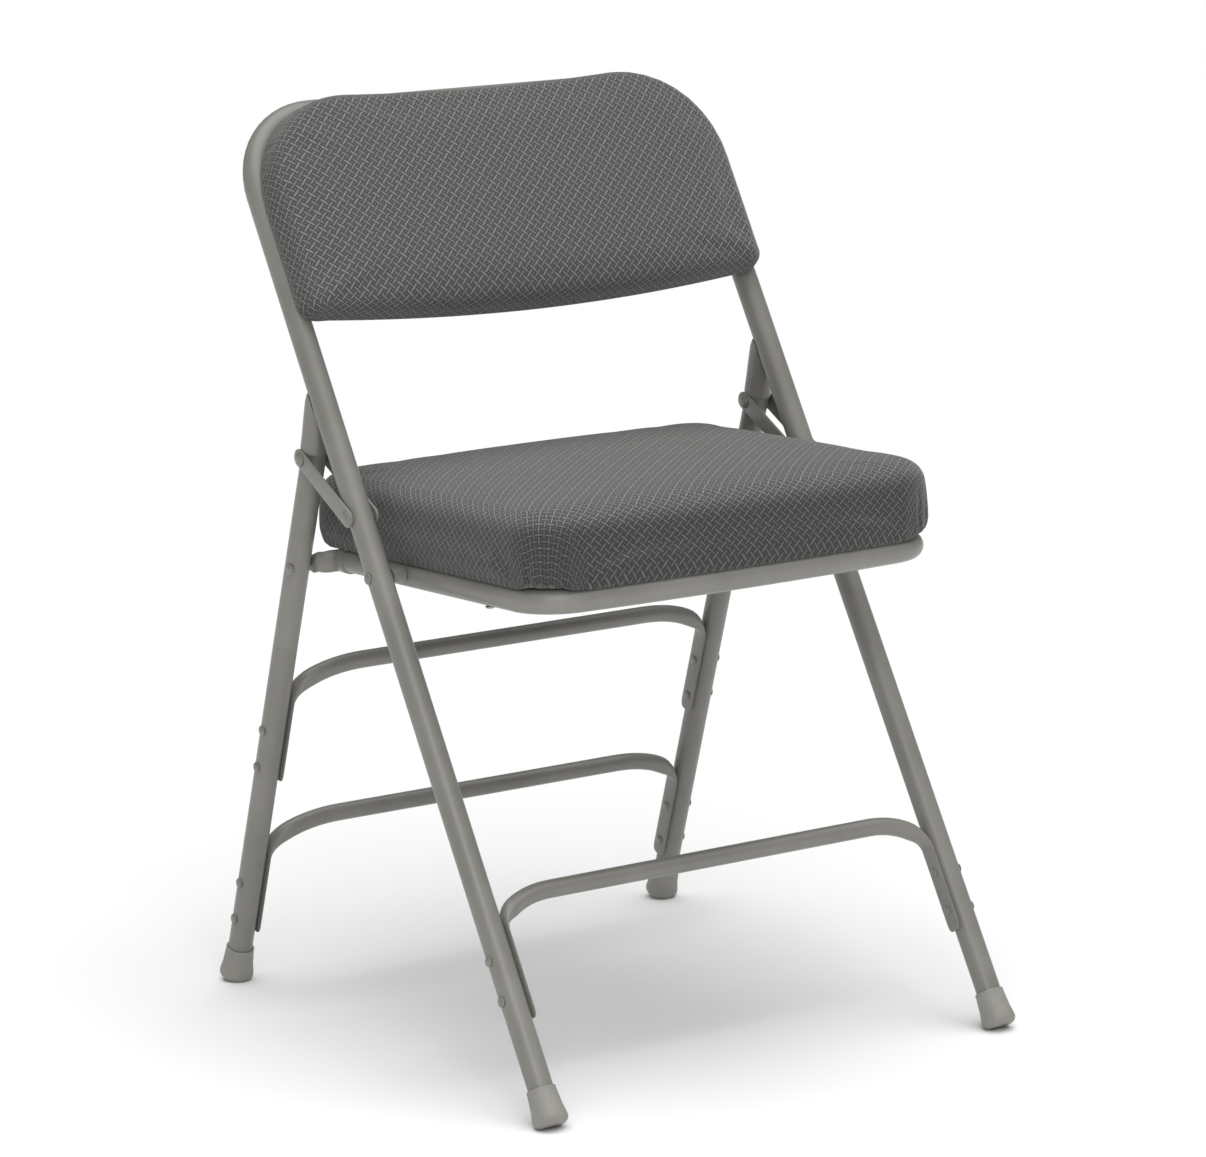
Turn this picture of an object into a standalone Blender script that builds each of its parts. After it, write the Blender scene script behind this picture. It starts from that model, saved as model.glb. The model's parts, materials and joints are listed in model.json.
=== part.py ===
"""Folding chair with a padded seat and back on a steel tube frame.

The front legs and the back loop are one bent tube. The seat frame hangs between its two sides on a
rivet each, the rear legs hang from the back of the seat frame, and two pairs of flat links tie the
rear legs to the front tube. Sizes are in millimetres, and meshes are written in metres. The chair
faces -Y, +X is to the right, and Z = 0 is the floor.
"""

import math

import bmesh
import bpy
from mathutils import Vector

MM = 0.001
GAP = 0.3  # clearance between pieces that touch

# Tubes
TUBE_R = 11.1
TUBE_WALL = 1.2
BRACE_R = 7.95
TUBE_SIDES = 12
BRACE_SIDES = 10

# Front frame: two legs and the back loop, bent from one tube
HALF_TRACK = 238.0  # centre of a leg from the middle of the chair
FOOT_SPAN = 533.6  # front to rear, where the leg axes meet the floor
FRONT_FOOT_Y = -268.485
REAR_FOOT_Y = FRONT_FOOT_Y + FOOT_SPAN
FRONT_LEAN = math.radians(31.84)
REAR_LEAN = math.radians(17.525)
LOOP_TOP = 940.0  # centre of the top bend, measured along the front leg's axis
LOOP_BEND = 72.0

# Hinge points, as heights on the tube axes
SEAT_PIVOT_Z = 425.5
LINK_LOWER_Z = 473.7
LINK_UPPER_Z = 513.7
REAR_PIVOT_Z = 411.9
REAR_PIVOT_FORWARD = 5.5  # the rear hinge sits this far ahead of the rear leg's axis

# Seat frame
SEAT_TILT = math.radians(2.8)
SEAT_RAIL_Z = 423.0  # centre of the side rail, level with the seat pivot
SEAT_RAIL_X = 202.0
SEAT_FRONT = 202.0  # centre of the front bar ahead of the seat pivot
SEAT_FRONT_BOW = 5.6
SEAT_BEND = 40.0
SEAT_RAIL_REAR = -105.0
CROSSBAR_BACK = -86.0

# Braces: run height, bend reach inwards and downwards, rivets and end below the run
FRONT_BRACE_Z = 172.7
UPPER_BRACE_Z = 309.0
LOWER_BRACE_Z = 155.7
FRONT_BRACE = {"across": 55.0, "down": 30.0, "rivets": (52.0, 88.0), "end": 107.0}
REAR_BRACE = {"across": 73.0, "down": 32.0, "rivets": (59.0, 97.0), "end": 113.0}
BRACE_FLAT_THICK = 1.6  # half sizes of the flattened end
BRACE_FLAT_WIDE = 8.8

# Rivets and links
RIVET_SHANK = 2.6
PIVOT_SHANK = 3.2
HOLE_GAP = 0.3
RIVET_SIDES = 10
LINK_GAP = 0.8  # from the tube's side to the link
LINK_THICK = 2.2
LINK_HALF_WIDTH = 8.0
LINK_OVERHANG = 2.0  # the link's upper end runs on past its rivet
SPACER_R = 6.4

# Feet and caps
FOOT_TOP_R = 12.7
FOOT_R = 15.5
FOOT_ROUND = 6.0
FOOT_LENGTH = 33.0
FRONT_SOLE = 3.4  # sole above the point where the leg's axis meets the floor
REAR_SOLE = 2.0
SOLE_THICK = 8.5
CAP_START_Z = 520.0
CAP_LENGTH = 60.0
CAP_CLEARANCE = 0.9

# Seat and back upholstery
BOARD_THICK = 6.0
COVER_THICK = 1.3  # fabric wrapped round under the seat board
SEAT_BOARD_BOTTOM = TUBE_R + COVER_THICK
SEAT_PAD_THICK = 60.0
SEAT_PAD_X = 213.0
SEAT_PAD_FRONT = 215.0
SEAT_PAD_REAR = -156.0
SEAT_PAD_BEND = 44.0
SEAT_PAD_REAR_BEND = 24.0
BACK_PAD_X = 243.0
BACK_PAD_BOTTOM = 729.0
BACK_PAD_TOP = 942.0
BACK_PAD_BEND = 90.0
BACK_PAD_CORNER = 16.0
BACK_PAD_THICK = 30.0
CROWN_INSET = 12.0
BOARD_INSET = 7.0
BOARD_SCREW_R = 2.0
LINING_THICK = 1.6

PAINT = (0.235, 0.228, 0.205)
SLEEVE = (0.315, 0.305, 0.285)
FABRIC = (0.125, 0.122, 0.118)
PLYWOOD = (0.45, 0.33, 0.2)
LINING = (0.03, 0.03, 0.032)
ZINC = (0.55, 0.55, 0.54)

X = Vector((1.0, 0.0, 0.0))
FRONT_UP = Vector((0.0, math.sin(FRONT_LEAN), math.cos(FRONT_LEAN)))
FRONT_BACK = Vector((0.0, math.cos(FRONT_LEAN), -math.sin(FRONT_LEAN)))
REAR_UP = Vector((0.0, -math.sin(REAR_LEAN), math.cos(REAR_LEAN)))
REAR_BACK = Vector((0.0, math.cos(REAR_LEAN), math.sin(REAR_LEAN)))
SEAT_FORWARD = Vector((0.0, -math.cos(SEAT_TILT), math.sin(SEAT_TILT)))
SEAT_UP = Vector((0.0, math.sin(SEAT_TILT), math.cos(SEAT_TILT)))


def front_point(x, along, back=0.0):
    """A point in the front frame's plane, or behind it by back."""
    return Vector((x, FRONT_FOOT_Y, 0.0)) + FRONT_UP * along + FRONT_BACK * back


def rear_point(x, along, back=0.0):
    """A point in the rear legs' plane, or behind it by back."""
    return Vector((x, REAR_FOOT_Y, 0.0)) + REAR_UP * along + REAR_BACK * back


def front_along(z):
    return z / math.cos(FRONT_LEAN)


def rear_along(z):
    return z / math.cos(REAR_LEAN)


SEAT_PIVOT = front_point(0.0, front_along(SEAT_PIVOT_Z))
LINK_LOWER = front_point(0.0, front_along(LINK_LOWER_Z))
LINK_UPPER = rear_point(0.0, rear_along(LINK_UPPER_Z))
REAR_PIVOT = rear_point(0.0, rear_along(REAR_PIVOT_Z), -REAR_PIVOT_FORWARD)
SEAT_ORIGIN = Vector((0.0, SEAT_PIVOT.y, SEAT_RAIL_Z))


def seat_point(x, ahead, up=0.0):
    """A point on the seat frame's centre plane, ahead of the pivot, or above the plane by up."""
    return SEAT_ORIGIN + X * x + SEAT_FORWARD * ahead + SEAT_UP * up


# Bodies and materials


def clear_scene():
    for obj in list(bpy.data.objects):
        bpy.data.objects.remove(obj, do_unlink=True)


def make_material(name, color, roughness, metallic=0.0):
    material = bpy.data.materials.new(name)
    material.use_nodes = True
    shader = material.node_tree.nodes["Principled BSDF"]
    shader.inputs["Base Color"].default_value = (*color, 1.0)
    shader.inputs["Roughness"].default_value = roughness
    shader.inputs["Metallic"].default_value = metallic
    return material


def make_body(name, pivot):
    """An empty on the joint's axis, which the body's pieces hang from."""
    empty = bpy.data.objects.new(name, None)
    empty.empty_display_size = 0.03
    empty.location = pivot * MM
    bpy.context.scene.collection.objects.link(empty)
    return empty


def add_object(name, bm, body, material):
    """Turns a mesh in millimetres and world space into a named object that hangs from its body."""
    offset = body.location / MM
    bmesh.ops.recalc_face_normals(bm, faces=bm.faces)
    for vert in bm.verts:
        vert.co = (vert.co - offset) * MM
    mesh = bpy.data.meshes.new(name)
    bm.to_mesh(mesh)
    bm.free()
    mesh.shade_smooth()
    mesh.set_sharp_from_angle(angle=math.radians(40.0))
    obj = bpy.data.objects.new(name, mesh)
    obj.parent = body
    if material:
        mesh.materials.append(material)
    bpy.context.scene.collection.objects.link(obj)
    return obj


# Shape helpers


def ring(bm, centre, side, up, half_side, half_up, sides, power=2.0):
    """A closed ring of points round centre: an ellipse, or a rounded box at a higher power."""
    points = []
    for i in range(sides):
        angle = 2.0 * math.pi * (i + 0.5) / sides
        c = math.cos(angle)
        s = math.sin(angle)
        across = math.copysign(abs(c) ** (2.0 / power), c)
        upward = math.copysign(abs(s) ** (2.0 / power), s)
        points.append(bm.verts.new(centre + side * half_side * across + up * half_up * upward))
    return points


def bridge(bm, first, second):
    count = len(first)
    for i in range(count):
        j = (i + 1) % count
        bm.faces.new((first[i], first[j], second[j], second[i]))


def loft(name, sections, body, material, sides=BRACE_SIDES):
    """A solid through a row of sections: centre, side, up, half sizes and power."""
    bm = bmesh.new()
    rings = [ring(bm, *section[:5], sides, *section[5:]) for section in sections]
    for first, second in zip(rings, rings[1:]):
        bridge(bm, first, second)
    bm.faces.new(rings[0][::-1])
    bm.faces.new(rings[-1])
    return add_object(name, bm, body, material)


def turned(name, centre, axis, profile, body, material, sides=RIVET_SIDES):
    """A solid turned about axis from a profile of (distance along the axis, radius)."""
    side = axis.orthogonal().normalized()
    up = axis.cross(side)
    sections = [(centre + axis * along, side, up, radius, radius) for along, radius in profile]
    return loft(name, sections, body, material, sides)


def sweep_tube(name, path, normal, half_sizes, wall, body, material, sides):
    """An open-ended hollow tube along a flat path whose plane has this normal."""
    bm = bmesh.new()
    outer = []
    inner = []
    for i, centre in enumerate(path):
        ahead = path[min(i + 1, len(path) - 1)]
        behind = path[max(i - 1, 0)]
        side = normal.cross((ahead - behind).normalized())
        half_side, half_up = half_sizes[i]
        outer.append(ring(bm, centre, side, normal, half_side, half_up, sides))
        inner.append(ring(bm, centre, side, normal, half_side - wall, half_up - wall, sides))
    for rings in (outer, inner):
        for first, second in zip(rings, rings[1:]):
            bridge(bm, first, second)
    bridge(bm, outer[0], inner[0])
    bridge(bm, outer[-1], inner[-1])
    return add_object(name, bm, body, material)


def plate(name, outline, place, low, high, body, material):
    """A flat plate: an outline in a plane, given thickness from low to high along its normal."""
    bm = bmesh.new()
    bottom = [bm.verts.new(place(a, b, low)) for a, b in outline]
    top = [bm.verts.new(place(a, b, high)) for a, b in outline]
    bridge(bm, bottom, top)
    bm.faces.new(bottom[::-1])
    bm.faces.new(top)
    return add_object(name, bm, body, material)


def arc(centre_a, centre_b, radius, start, end, steps):
    """Points on an arc in a flat outline, with angles in degrees."""
    points = []
    for i in range(steps + 1):
        angle = math.radians(start + (end - start) * i / steps)
        points.append((centre_a + radius * math.cos(angle), centre_b + radius * math.sin(angle)))
    return points


def rounded_outline(half_width, low, high, low_round, high_round, steps=4):
    """A symmetric outline with one corner radius at its low end and one at its high end."""
    points = arc(half_width - low_round, low + low_round, low_round, -90, 0, steps)
    points += arc(half_width - high_round, high - high_round, high_round, 0, 90, steps)
    points += arc(-half_width + high_round, high - high_round, high_round, 90, 180, steps)
    points += arc(-half_width + low_round, low + low_round, low_round, 180, 270, steps)
    return points


def cut_away(target, cutter):
    """Takes the cutter's shape out of the target, and leaves the cutter as a hidden guide."""
    cutter.hide_render = True
    cutter.display_type = "WIRE"
    cut = target.modifiers.new("cut", "BOOLEAN")
    cut.operation = "DIFFERENCE"
    cut.object = cutter


def drill(target, holes, sides=RIVET_SIDES):
    """Cuts round holes, each given as centre, axis, radius and half length."""
    bm = bmesh.new()
    for centre, axis, radius, half_length in holes:
        side = axis.orthogonal().normalized()
        up = axis.cross(side)
        low = ring(bm, centre - axis * half_length, side, up, radius, radius, sides)
        high = ring(bm, centre + axis * half_length, side, up, radius, radius, sides)
        bridge(bm, low, high)
        bm.faces.new(low[::-1])
        bm.faces.new(high)
    cut_away(target, add_object(target.name + "_holes", bm, target.parent, None))


# Front frame


def loop_path():
    """The centre line of the front frame, from the left foot over the back loop to the right foot."""
    start = FRONT_SOLE + SOLE_THICK + GAP
    bend_x = HALF_TRACK - LOOP_BEND
    bend_w = LOOP_TOP - LOOP_BEND
    flat = [(-HALF_TRACK, start), (-HALF_TRACK, bend_w / 2.0)]
    flat += arc(-bend_x, bend_w, LOOP_BEND, 180, 90, 6)
    flat += arc(bend_x, bend_w, LOOP_BEND, 90, 0, 6)
    flat += [(HALF_TRACK, bend_w / 2.0), (HALF_TRACK, start)]
    return [front_point(x, along) for x, along in flat]


def front_tube(body, material):
    path = loop_path()
    sizes = [(TUBE_R, TUBE_R)] * len(path)
    tube = sweep_tube(
        "front_frame_tube", path, FRONT_BACK, sizes, TUBE_WALL, body, material, TUBE_SIDES
    )
    holes = []
    run = front_along(FRONT_BRACE_Z)
    for sign in (-1, 1):
        for drop in FRONT_BRACE["rivets"]:
            centre = front_point(sign * HALF_TRACK, run - drop)
            holes.append((centre, X, RIVET_SHANK + HOLE_GAP, TUBE_R + 3.0))
        for pivot in (SEAT_PIVOT, LINK_LOWER):
            centre = pivot + X * sign * HALF_TRACK
            holes.append((centre, X, PIVOT_SHANK + HOLE_GAP, TUBE_R + 3.0))
        for along in BACK_SCREWS:
            centre = front_point(sign * HALF_TRACK, along)
            holes.append((centre, FRONT_BACK, BOARD_SCREW_R + HOLE_GAP, TUBE_R + 3.0))
    drill(tube, holes)


def foot(name, place, up, sole, body, material):
    """A tapered plastic foot that the leg stands in, with a rounded sole worn flat on the floor."""
    top = sole + FOOT_LENGTH
    profile = [(sole, FOOT_R - FOOT_ROUND)]
    for step in (1, 2, 3):
        angle = math.radians(30 * step)
        rise = FOOT_ROUND * (1.0 - math.cos(angle))
        profile.append((sole + rise, FOOT_R - FOOT_ROUND + FOOT_ROUND * math.sin(angle)))
    profile += [(top, FOOT_TOP_R), (top, TUBE_R + GAP), (sole + SOLE_THICK, TUBE_R + GAP)]
    origin = place(0.0)
    bm = bmesh.new()
    side = X
    back = up.cross(side)
    rings = [ring(bm, origin + up * a, side, back, r, r, 16) for a, r in profile]
    for first, second in zip(rings, rings[1:]):
        bridge(bm, first, second)
    bm.faces.new(rings[0][::-1])
    bm.faces.new(rings[-1])
    geometry = bm.verts[:] + bm.edges[:] + bm.faces[:]
    floor = Vector((0.0, 0.0, 0.0))
    cut = bmesh.ops.bisect_plane(
        bm, geom=geometry, plane_co=floor, plane_no=Vector((0.0, 0.0, -1.0)), clear_outer=True
    )
    edges = [item for item in cut["geom_cut"] if isinstance(item, bmesh.types.BMEdge)]
    bmesh.ops.edgeloop_fill(bm, edges=edges)
    return add_object(name, bm, body, material)


def brace(name, place, along, shape, normal, body, material):
    """A tube across the two legs, with its flattened ends turned down against their inner sides."""
    flat_x = HALF_TRACK - TUBE_R - GAP - BRACE_FLAT_THICK
    half = [(flat_x, -shape["end"], BRACE_FLAT_THICK, BRACE_FLAT_WIDE)]
    half.append((flat_x, -shape["down"] - 6.0, BRACE_FLAT_THICK, BRACE_FLAT_WIDE))
    steps = 7
    for i in range(steps + 1):
        angle = 0.5 * math.pi * i / steps
        reach = shape["across"] * (1.0 - math.cos(angle))
        drop = shape["down"] * (1.0 - math.sin(angle))
        blend = min(angle / math.radians(38.0), 1.0)
        blend = blend * blend * (3.0 - 2.0 * blend)
        thick = BRACE_FLAT_THICK + (BRACE_R - BRACE_FLAT_THICK) * blend
        wide = BRACE_FLAT_WIDE + (BRACE_R - BRACE_FLAT_WIDE) * blend
        half.append((flat_x - reach, -drop, thick, wide))
    stations = [(-x, w, a, b) for x, w, a, b in half] + half[::-1]
    path = [place(x, along + w) for x, w, _, _ in stations]
    sizes = [(a, b) for _, _, a, b in stations]
    tube = sweep_tube(name, path, normal, sizes, TUBE_WALL, body, material, BRACE_SIDES)
    holes = []
    for sign in (-1, 1):
        for drop in shape["rivets"]:
            centre = place(sign * flat_x, along - drop)
            holes.append((centre, X, RIVET_SHANK + HOLE_GAP, 6.0))
    drill(tube, holes)


def brace_rivets(prefix, place, along, shape, body, material):
    """Two rivets a side, each through the leg and the flattened end of the brace."""
    inner = 2.0 * BRACE_FLAT_THICK + TUBE_R + 2.0 * GAP
    outer = -TUBE_R - GAP
    profile = [
        (outer - 2.2, 3.2),
        (outer, 5.6),
        (outer, RIVET_SHANK),
        (inner, RIVET_SHANK),
        (inner, 4.6),
        (inner + 1.8, 2.8),
    ]
    for side, sign in (("left", -1), ("right", 1)):
        for level, drop in zip(("upper", "lower"), shape["rivets"]):
            centre = place(sign * HALF_TRACK, along - drop)
            name = f"{prefix}_rivet_{side}_{level}"
            turned(name, centre, X * -sign, profile, body, material)


BACK_SCREWS = (front_along(655.0), front_along(728.0))


def back_panel(body, board_material, fabric, lining):
    """The upholstered back: board, pad ahead of it and lining behind it, screwed to the loop."""
    front_face = -TUBE_R - GAP
    board = plate(
        "back_board",
        rounded_outline(
            BACK_PAD_X - BOARD_INSET,
            BACK_PAD_BOTTOM + BOARD_INSET,
            BACK_PAD_TOP - BOARD_INSET,
            BACK_PAD_CORNER,
            BACK_PAD_BEND - BOARD_INSET,
        ),
        front_point,
        front_face - BOARD_THICK,
        front_face,
        body,
        board_material,
    )
    holes = []
    for sign in (-1, 1):
        for along in BACK_SCREWS:
            centre = front_point(sign * HALF_TRACK, along, front_face)
            holes.append((centre, FRONT_BACK, BOARD_SCREW_R + HOLE_GAP, BOARD_THICK - 1.5))
    drill(board, holes)
    pad_face = front_face - BOARD_THICK - GAP
    rim = rounded_outline(
        BACK_PAD_X, BACK_PAD_BOTTOM, BACK_PAD_TOP, BACK_PAD_CORNER, BACK_PAD_BEND
    )
    crown = rounded_outline(
        BACK_PAD_X - CROWN_INSET,
        BACK_PAD_BOTTOM + CROWN_INSET,
        BACK_PAD_TOP - CROWN_INSET,
        BACK_PAD_CORNER - CROWN_INSET / 2.0,
        BACK_PAD_BEND - CROWN_INSET,
    )
    pad("back_cushion", rim, crown, front_point, pad_face, -BACK_PAD_THICK, body, fabric)
    plate(
        "back_rear_lining",
        rounded_outline(
            HALF_TRACK - TUBE_R - 1.5,
            BACK_PAD_BOTTOM + BOARD_INSET + 4.0,
            LOOP_TOP - TUBE_R - 1.5,
            BACK_PAD_CORNER,
            LOOP_BEND - TUBE_R,
        ),
        front_point,
        front_face + GAP,
        front_face + GAP + LINING_THICK,
        body,
        lining,
    )


def pad(name, rim, crown, place, base, rise, body, material):
    """A plain cushion solid: straight sides from its base, then in to a smaller crowned face."""
    bm = bmesh.new()
    levels = ((rim, 0.0), (rim, 0.7), (crown, 1.0))
    loops = [[bm.verts.new(place(a, b, base + rise * t)) for a, b in line] for line, t in levels]
    for first, second in zip(loops, loops[1:]):
        bridge(bm, first, second)
    bm.faces.new(loops[0][::-1])
    bm.faces.new(loops[-1])
    return add_object(name, bm, body, material)


def back_screws(body, material):
    head = TUBE_R + GAP
    tip = -TUBE_R - GAP - BOARD_THICK + 2.0
    profile = [
        (head + 2.0, 2.4),
        (head, 4.2),
        (head, BOARD_SCREW_R),
        (tip + 1.5, BOARD_SCREW_R),
        (tip, 0.8),
    ]
    for side, sign in (("left", -1), ("right", 1)):
        for level, along in zip(("lower", "upper"), BACK_SCREWS):
            centre = front_point(sign * HALF_TRACK, along)
            turned(f"back_screw_{side}_{level}", centre, FRONT_BACK, profile, body, material, 8)


def seat_pivot_parts(side, sign, body, material):
    """The rivet that hangs the seat rail on the front tube, and the spacer between them."""
    outer = TUBE_R + GAP
    tail = -(HALF_TRACK - SEAT_RAIL_X) - TUBE_R - GAP
    profile = [
        (outer + 2.2, 2.8),
        (outer, 4.8),
        (outer, PIVOT_SHANK),
        (tail, PIVOT_SHANK),
        (tail, 4.8),
        (tail - 2.0, 3.0),
    ]
    centre = SEAT_PIVOT + X * sign * HALF_TRACK
    turned(f"seat_pivot_rivet_{side}", centre, X * sign, profile, body, material)
    length = HALF_TRACK - SEAT_RAIL_X - 2.0 * TUBE_R - 2.0 * GAP
    middle = SEAT_PIVOT + X * sign * (HALF_TRACK + SEAT_RAIL_X) / 2.0
    bore = PIVOT_SHANK + HOLE_GAP
    bm = bmesh.new()
    up = FRONT_UP
    back = FRONT_BACK
    rings = []
    for shift, radius in ((-0.5, bore), (-0.5, SPACER_R), (0.5, SPACER_R), (0.5, bore)):
        rings.append(ring(bm, middle + X * shift * length, up, back, radius, radius, 12))
    for first, second in zip(rings, rings[1:] + rings[:1]):
        bridge(bm, first, second)
    add_object(f"seat_pivot_spacer_{side}", bm, body, material)


def link_pivot(side, sign, body, material):
    reach = TUBE_R + LINK_GAP + LINK_THICK + GAP
    profile = [
        (reach + 2.2, 3.6),
        (reach, 6.2),
        (reach, PIVOT_SHANK),
        (-reach, PIVOT_SHANK),
        (-reach, 5.8),
        (-reach - 1.8, 3.4),
    ]
    centre = LINK_LOWER + X * sign * HALF_TRACK
    turned(f"link_pivot_rivet_{side}", centre, X * sign, profile, body, material)


# Seat


def seat_frame(body, material):
    bend_x = SEAT_RAIL_X - SEAT_BEND
    bend_q = SEAT_FRONT - SEAT_BEND
    flat = [(-SEAT_RAIL_X, SEAT_RAIL_REAR), (-SEAT_RAIL_X, 0.0)]
    flat += arc(-bend_x, bend_q, SEAT_BEND, 180, 90, 5)
    for t in (-0.6, -0.2, 0.2, 0.6):
        flat.append((bend_x * t, SEAT_FRONT + SEAT_FRONT_BOW * (1.0 - t * t)))
    flat += arc(bend_x, bend_q, SEAT_BEND, 90, 0, 5)
    flat += [(SEAT_RAIL_X, 0.0), (SEAT_RAIL_X, SEAT_RAIL_REAR)]
    path = [seat_point(x, q) for x, q in flat]
    sizes = [(TUBE_R, TUBE_R)] * len(path)
    tube = sweep_tube(
        "seat_frame_tube", path, SEAT_UP, sizes, TUBE_WALL, body, material, TUBE_SIDES
    )
    holes = []
    for sign in (-1, 1):
        centre = SEAT_PIVOT + X * sign * SEAT_RAIL_X
        holes.append((centre, X, PIVOT_SHANK + HOLE_GAP, TUBE_R + 3.0))
        for ahead in SEAT_SCREWS:
            centre = seat_point(sign * SEAT_RAIL_X, ahead)
            holes.append((centre, SEAT_UP, BOARD_SCREW_R + HOLE_GAP, TUBE_R + 3.0))
    drill(tube, holes)
    reach = SEAT_RAIL_X - TUBE_R - GAP
    path = [seat_point(x, CROSSBAR_BACK) for x in (-reach, 0.0, reach)]
    sizes = [(BRACE_R, BRACE_R)] * len(path)
    sweep_tube("seat_crossbar", path, SEAT_UP, sizes, TUBE_WALL, body, material, BRACE_SIDES)


SEAT_SCREWS = (-60.0, 120.0)


def seat_screws(body, material):
    head = -TUBE_R - GAP
    tip = TUBE_R + GAP + BOARD_THICK - 2.0
    profile = [
        (head - 2.0, 2.4),
        (head, 4.2),
        (head, BOARD_SCREW_R),
        (tip - 1.5, BOARD_SCREW_R),
        (tip, 0.8),
    ]
    for side, sign in (("left", -1), ("right", 1)):
        for level, ahead in zip(("rear", "front"), SEAT_SCREWS):
            centre = seat_point(sign * SEAT_RAIL_X, ahead)
            turned(f"seat_screw_{side}_{level}", centre, SEAT_UP, profile, body, material, 8)


def seat_hinge_bracket(side, sign, body, material):
    """A plug and collar on the rail's rear end, flattened to a tongue beside the rear leg."""
    start = seat_point(sign * SEAT_RAIL_X, SEAT_RAIL_REAR)
    back = -SEAT_FORWARD
    tongue_x = sign * (HALF_TRACK - TUBE_R - GAP - 2.6)
    tip = REAR_PIVOT + X * tongue_x
    reach = (REAR_PIVOT - start).dot(back)
    drop = (REAR_PIVOT - start).dot(SEAT_UP)
    plug = TUBE_R - TUBE_WALL - GAP
    collar = TUBE_R + 0.8

    def station(along, x, rise):
        return Vector((x, start.y, start.z)) + back * along + SEAT_UP * rise

    rail_x = sign * SEAT_RAIL_X
    middle_x = rail_x * 0.35 + tongue_x * 0.65
    sections = [
        (station(-14.0, rail_x, 0.0), X, SEAT_UP, plug, plug),
        (station(GAP, rail_x, 0.0), X, SEAT_UP, plug, plug),
        (station(GAP, rail_x, 0.0), X, SEAT_UP, collar, collar),
        (station(8.0, rail_x, -0.5), X, SEAT_UP, collar, collar + 0.5),
        (station(15.0, middle_x, -1.0), X, SEAT_UP, 5.0, collar - 1.5, 3.0),
        (station(21.0, tongue_x, drop * 0.5 + 2.0), X, SEAT_UP, 2.6, 9.0, 4.0),
        (station(reach, tongue_x, drop + 2.6), X, SEAT_UP, 2.6, 8.6, 4.0),
        (station(reach + 6.0, tongue_x, drop + 1.6), X, SEAT_UP, 2.6, 6.2, 4.0),
        (station(reach + 8.6, tongue_x, drop + 1.0), X, SEAT_UP, 2.4, 2.6, 4.0),
    ]
    bracket = loft(f"seat_hinge_bracket_{side}", sections, body, material, 12)
    drill(bracket, [(tip, X, PIVOT_SHANK + HOLE_GAP, 6.0)])


def seat_panel(body, board_material, fabric, lining):
    board_outline = rounded_outline(
        SEAT_PAD_X - BOARD_INSET,
        SEAT_PAD_REAR + BOARD_INSET,
        SEAT_PAD_FRONT - BOARD_INSET,
        SEAT_PAD_REAR_BEND - BOARD_INSET,
        SEAT_PAD_BEND - BOARD_INSET,
    )
    board = plate(
        "seat_board",
        board_outline,
        seat_point,
        SEAT_BOARD_BOTTOM,
        SEAT_BOARD_BOTTOM + BOARD_THICK,
        body,
        board_material,
    )
    holes = []
    for sign in (-1, 1):
        for ahead in SEAT_SCREWS:
            centre = seat_point(sign * SEAT_RAIL_X, ahead, SEAT_BOARD_BOTTOM)
            holes.append((centre, SEAT_UP, BOARD_SCREW_R + HOLE_GAP, BOARD_THICK - 1.5))
    drill(board, holes)
    base = SEAT_BOARD_BOTTOM + BOARD_THICK + GAP
    rim = rounded_outline(
        SEAT_PAD_X, SEAT_PAD_REAR, SEAT_PAD_FRONT, SEAT_PAD_REAR_BEND, SEAT_PAD_BEND
    )
    crown = rounded_outline(
        SEAT_PAD_X - CROWN_INSET,
        SEAT_PAD_REAR + CROWN_INSET,
        SEAT_PAD_FRONT - CROWN_INSET,
        SEAT_PAD_REAR_BEND - CROWN_INSET,
        SEAT_PAD_BEND - CROWN_INSET,
    )
    pad("seat_cushion", rim, crown, seat_point, base, SEAT_PAD_THICK, body, fabric)
    plate(
        "seat_bottom_lining",
        rounded_outline(
            SEAT_RAIL_X - TUBE_R - 1.5,
            CROSSBAR_BACK + BRACE_R + 1.5,
            SEAT_FRONT - TUBE_R - 1.5,
            6.0,
            SEAT_BEND - TUBE_R,
        ),
        seat_point,
        SEAT_BOARD_BOTTOM - GAP - LINING_THICK,
        SEAT_BOARD_BOTTOM - GAP,
        body,
        lining,
    )


# Rear legs


def rear_leg(side, sign, body, material):
    x = sign * HALF_TRACK
    start = REAR_SOLE + SOLE_THICK + GAP
    path = [rear_point(x, w) for w in (start, rear_along(CAP_START_Z) - GAP)]
    sizes = [(TUBE_R, TUBE_R)] * len(path)
    tube = sweep_tube(
        f"rear_leg_{side}", path, REAR_BACK, sizes, TUBE_WALL, body, material, TUBE_SIDES
    )
    holes = [(REAR_PIVOT + X * x, X, PIVOT_SHANK + HOLE_GAP, TUBE_R + 3.0)]
    for height in (UPPER_BRACE_Z, LOWER_BRACE_Z):
        for drop in REAR_BRACE["rivets"]:
            centre = rear_point(x, rear_along(height) - drop)
            holes.append((centre, X, RIVET_SHANK + HOLE_GAP, TUBE_R + 3.0))
    drill(tube, holes)


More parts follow.
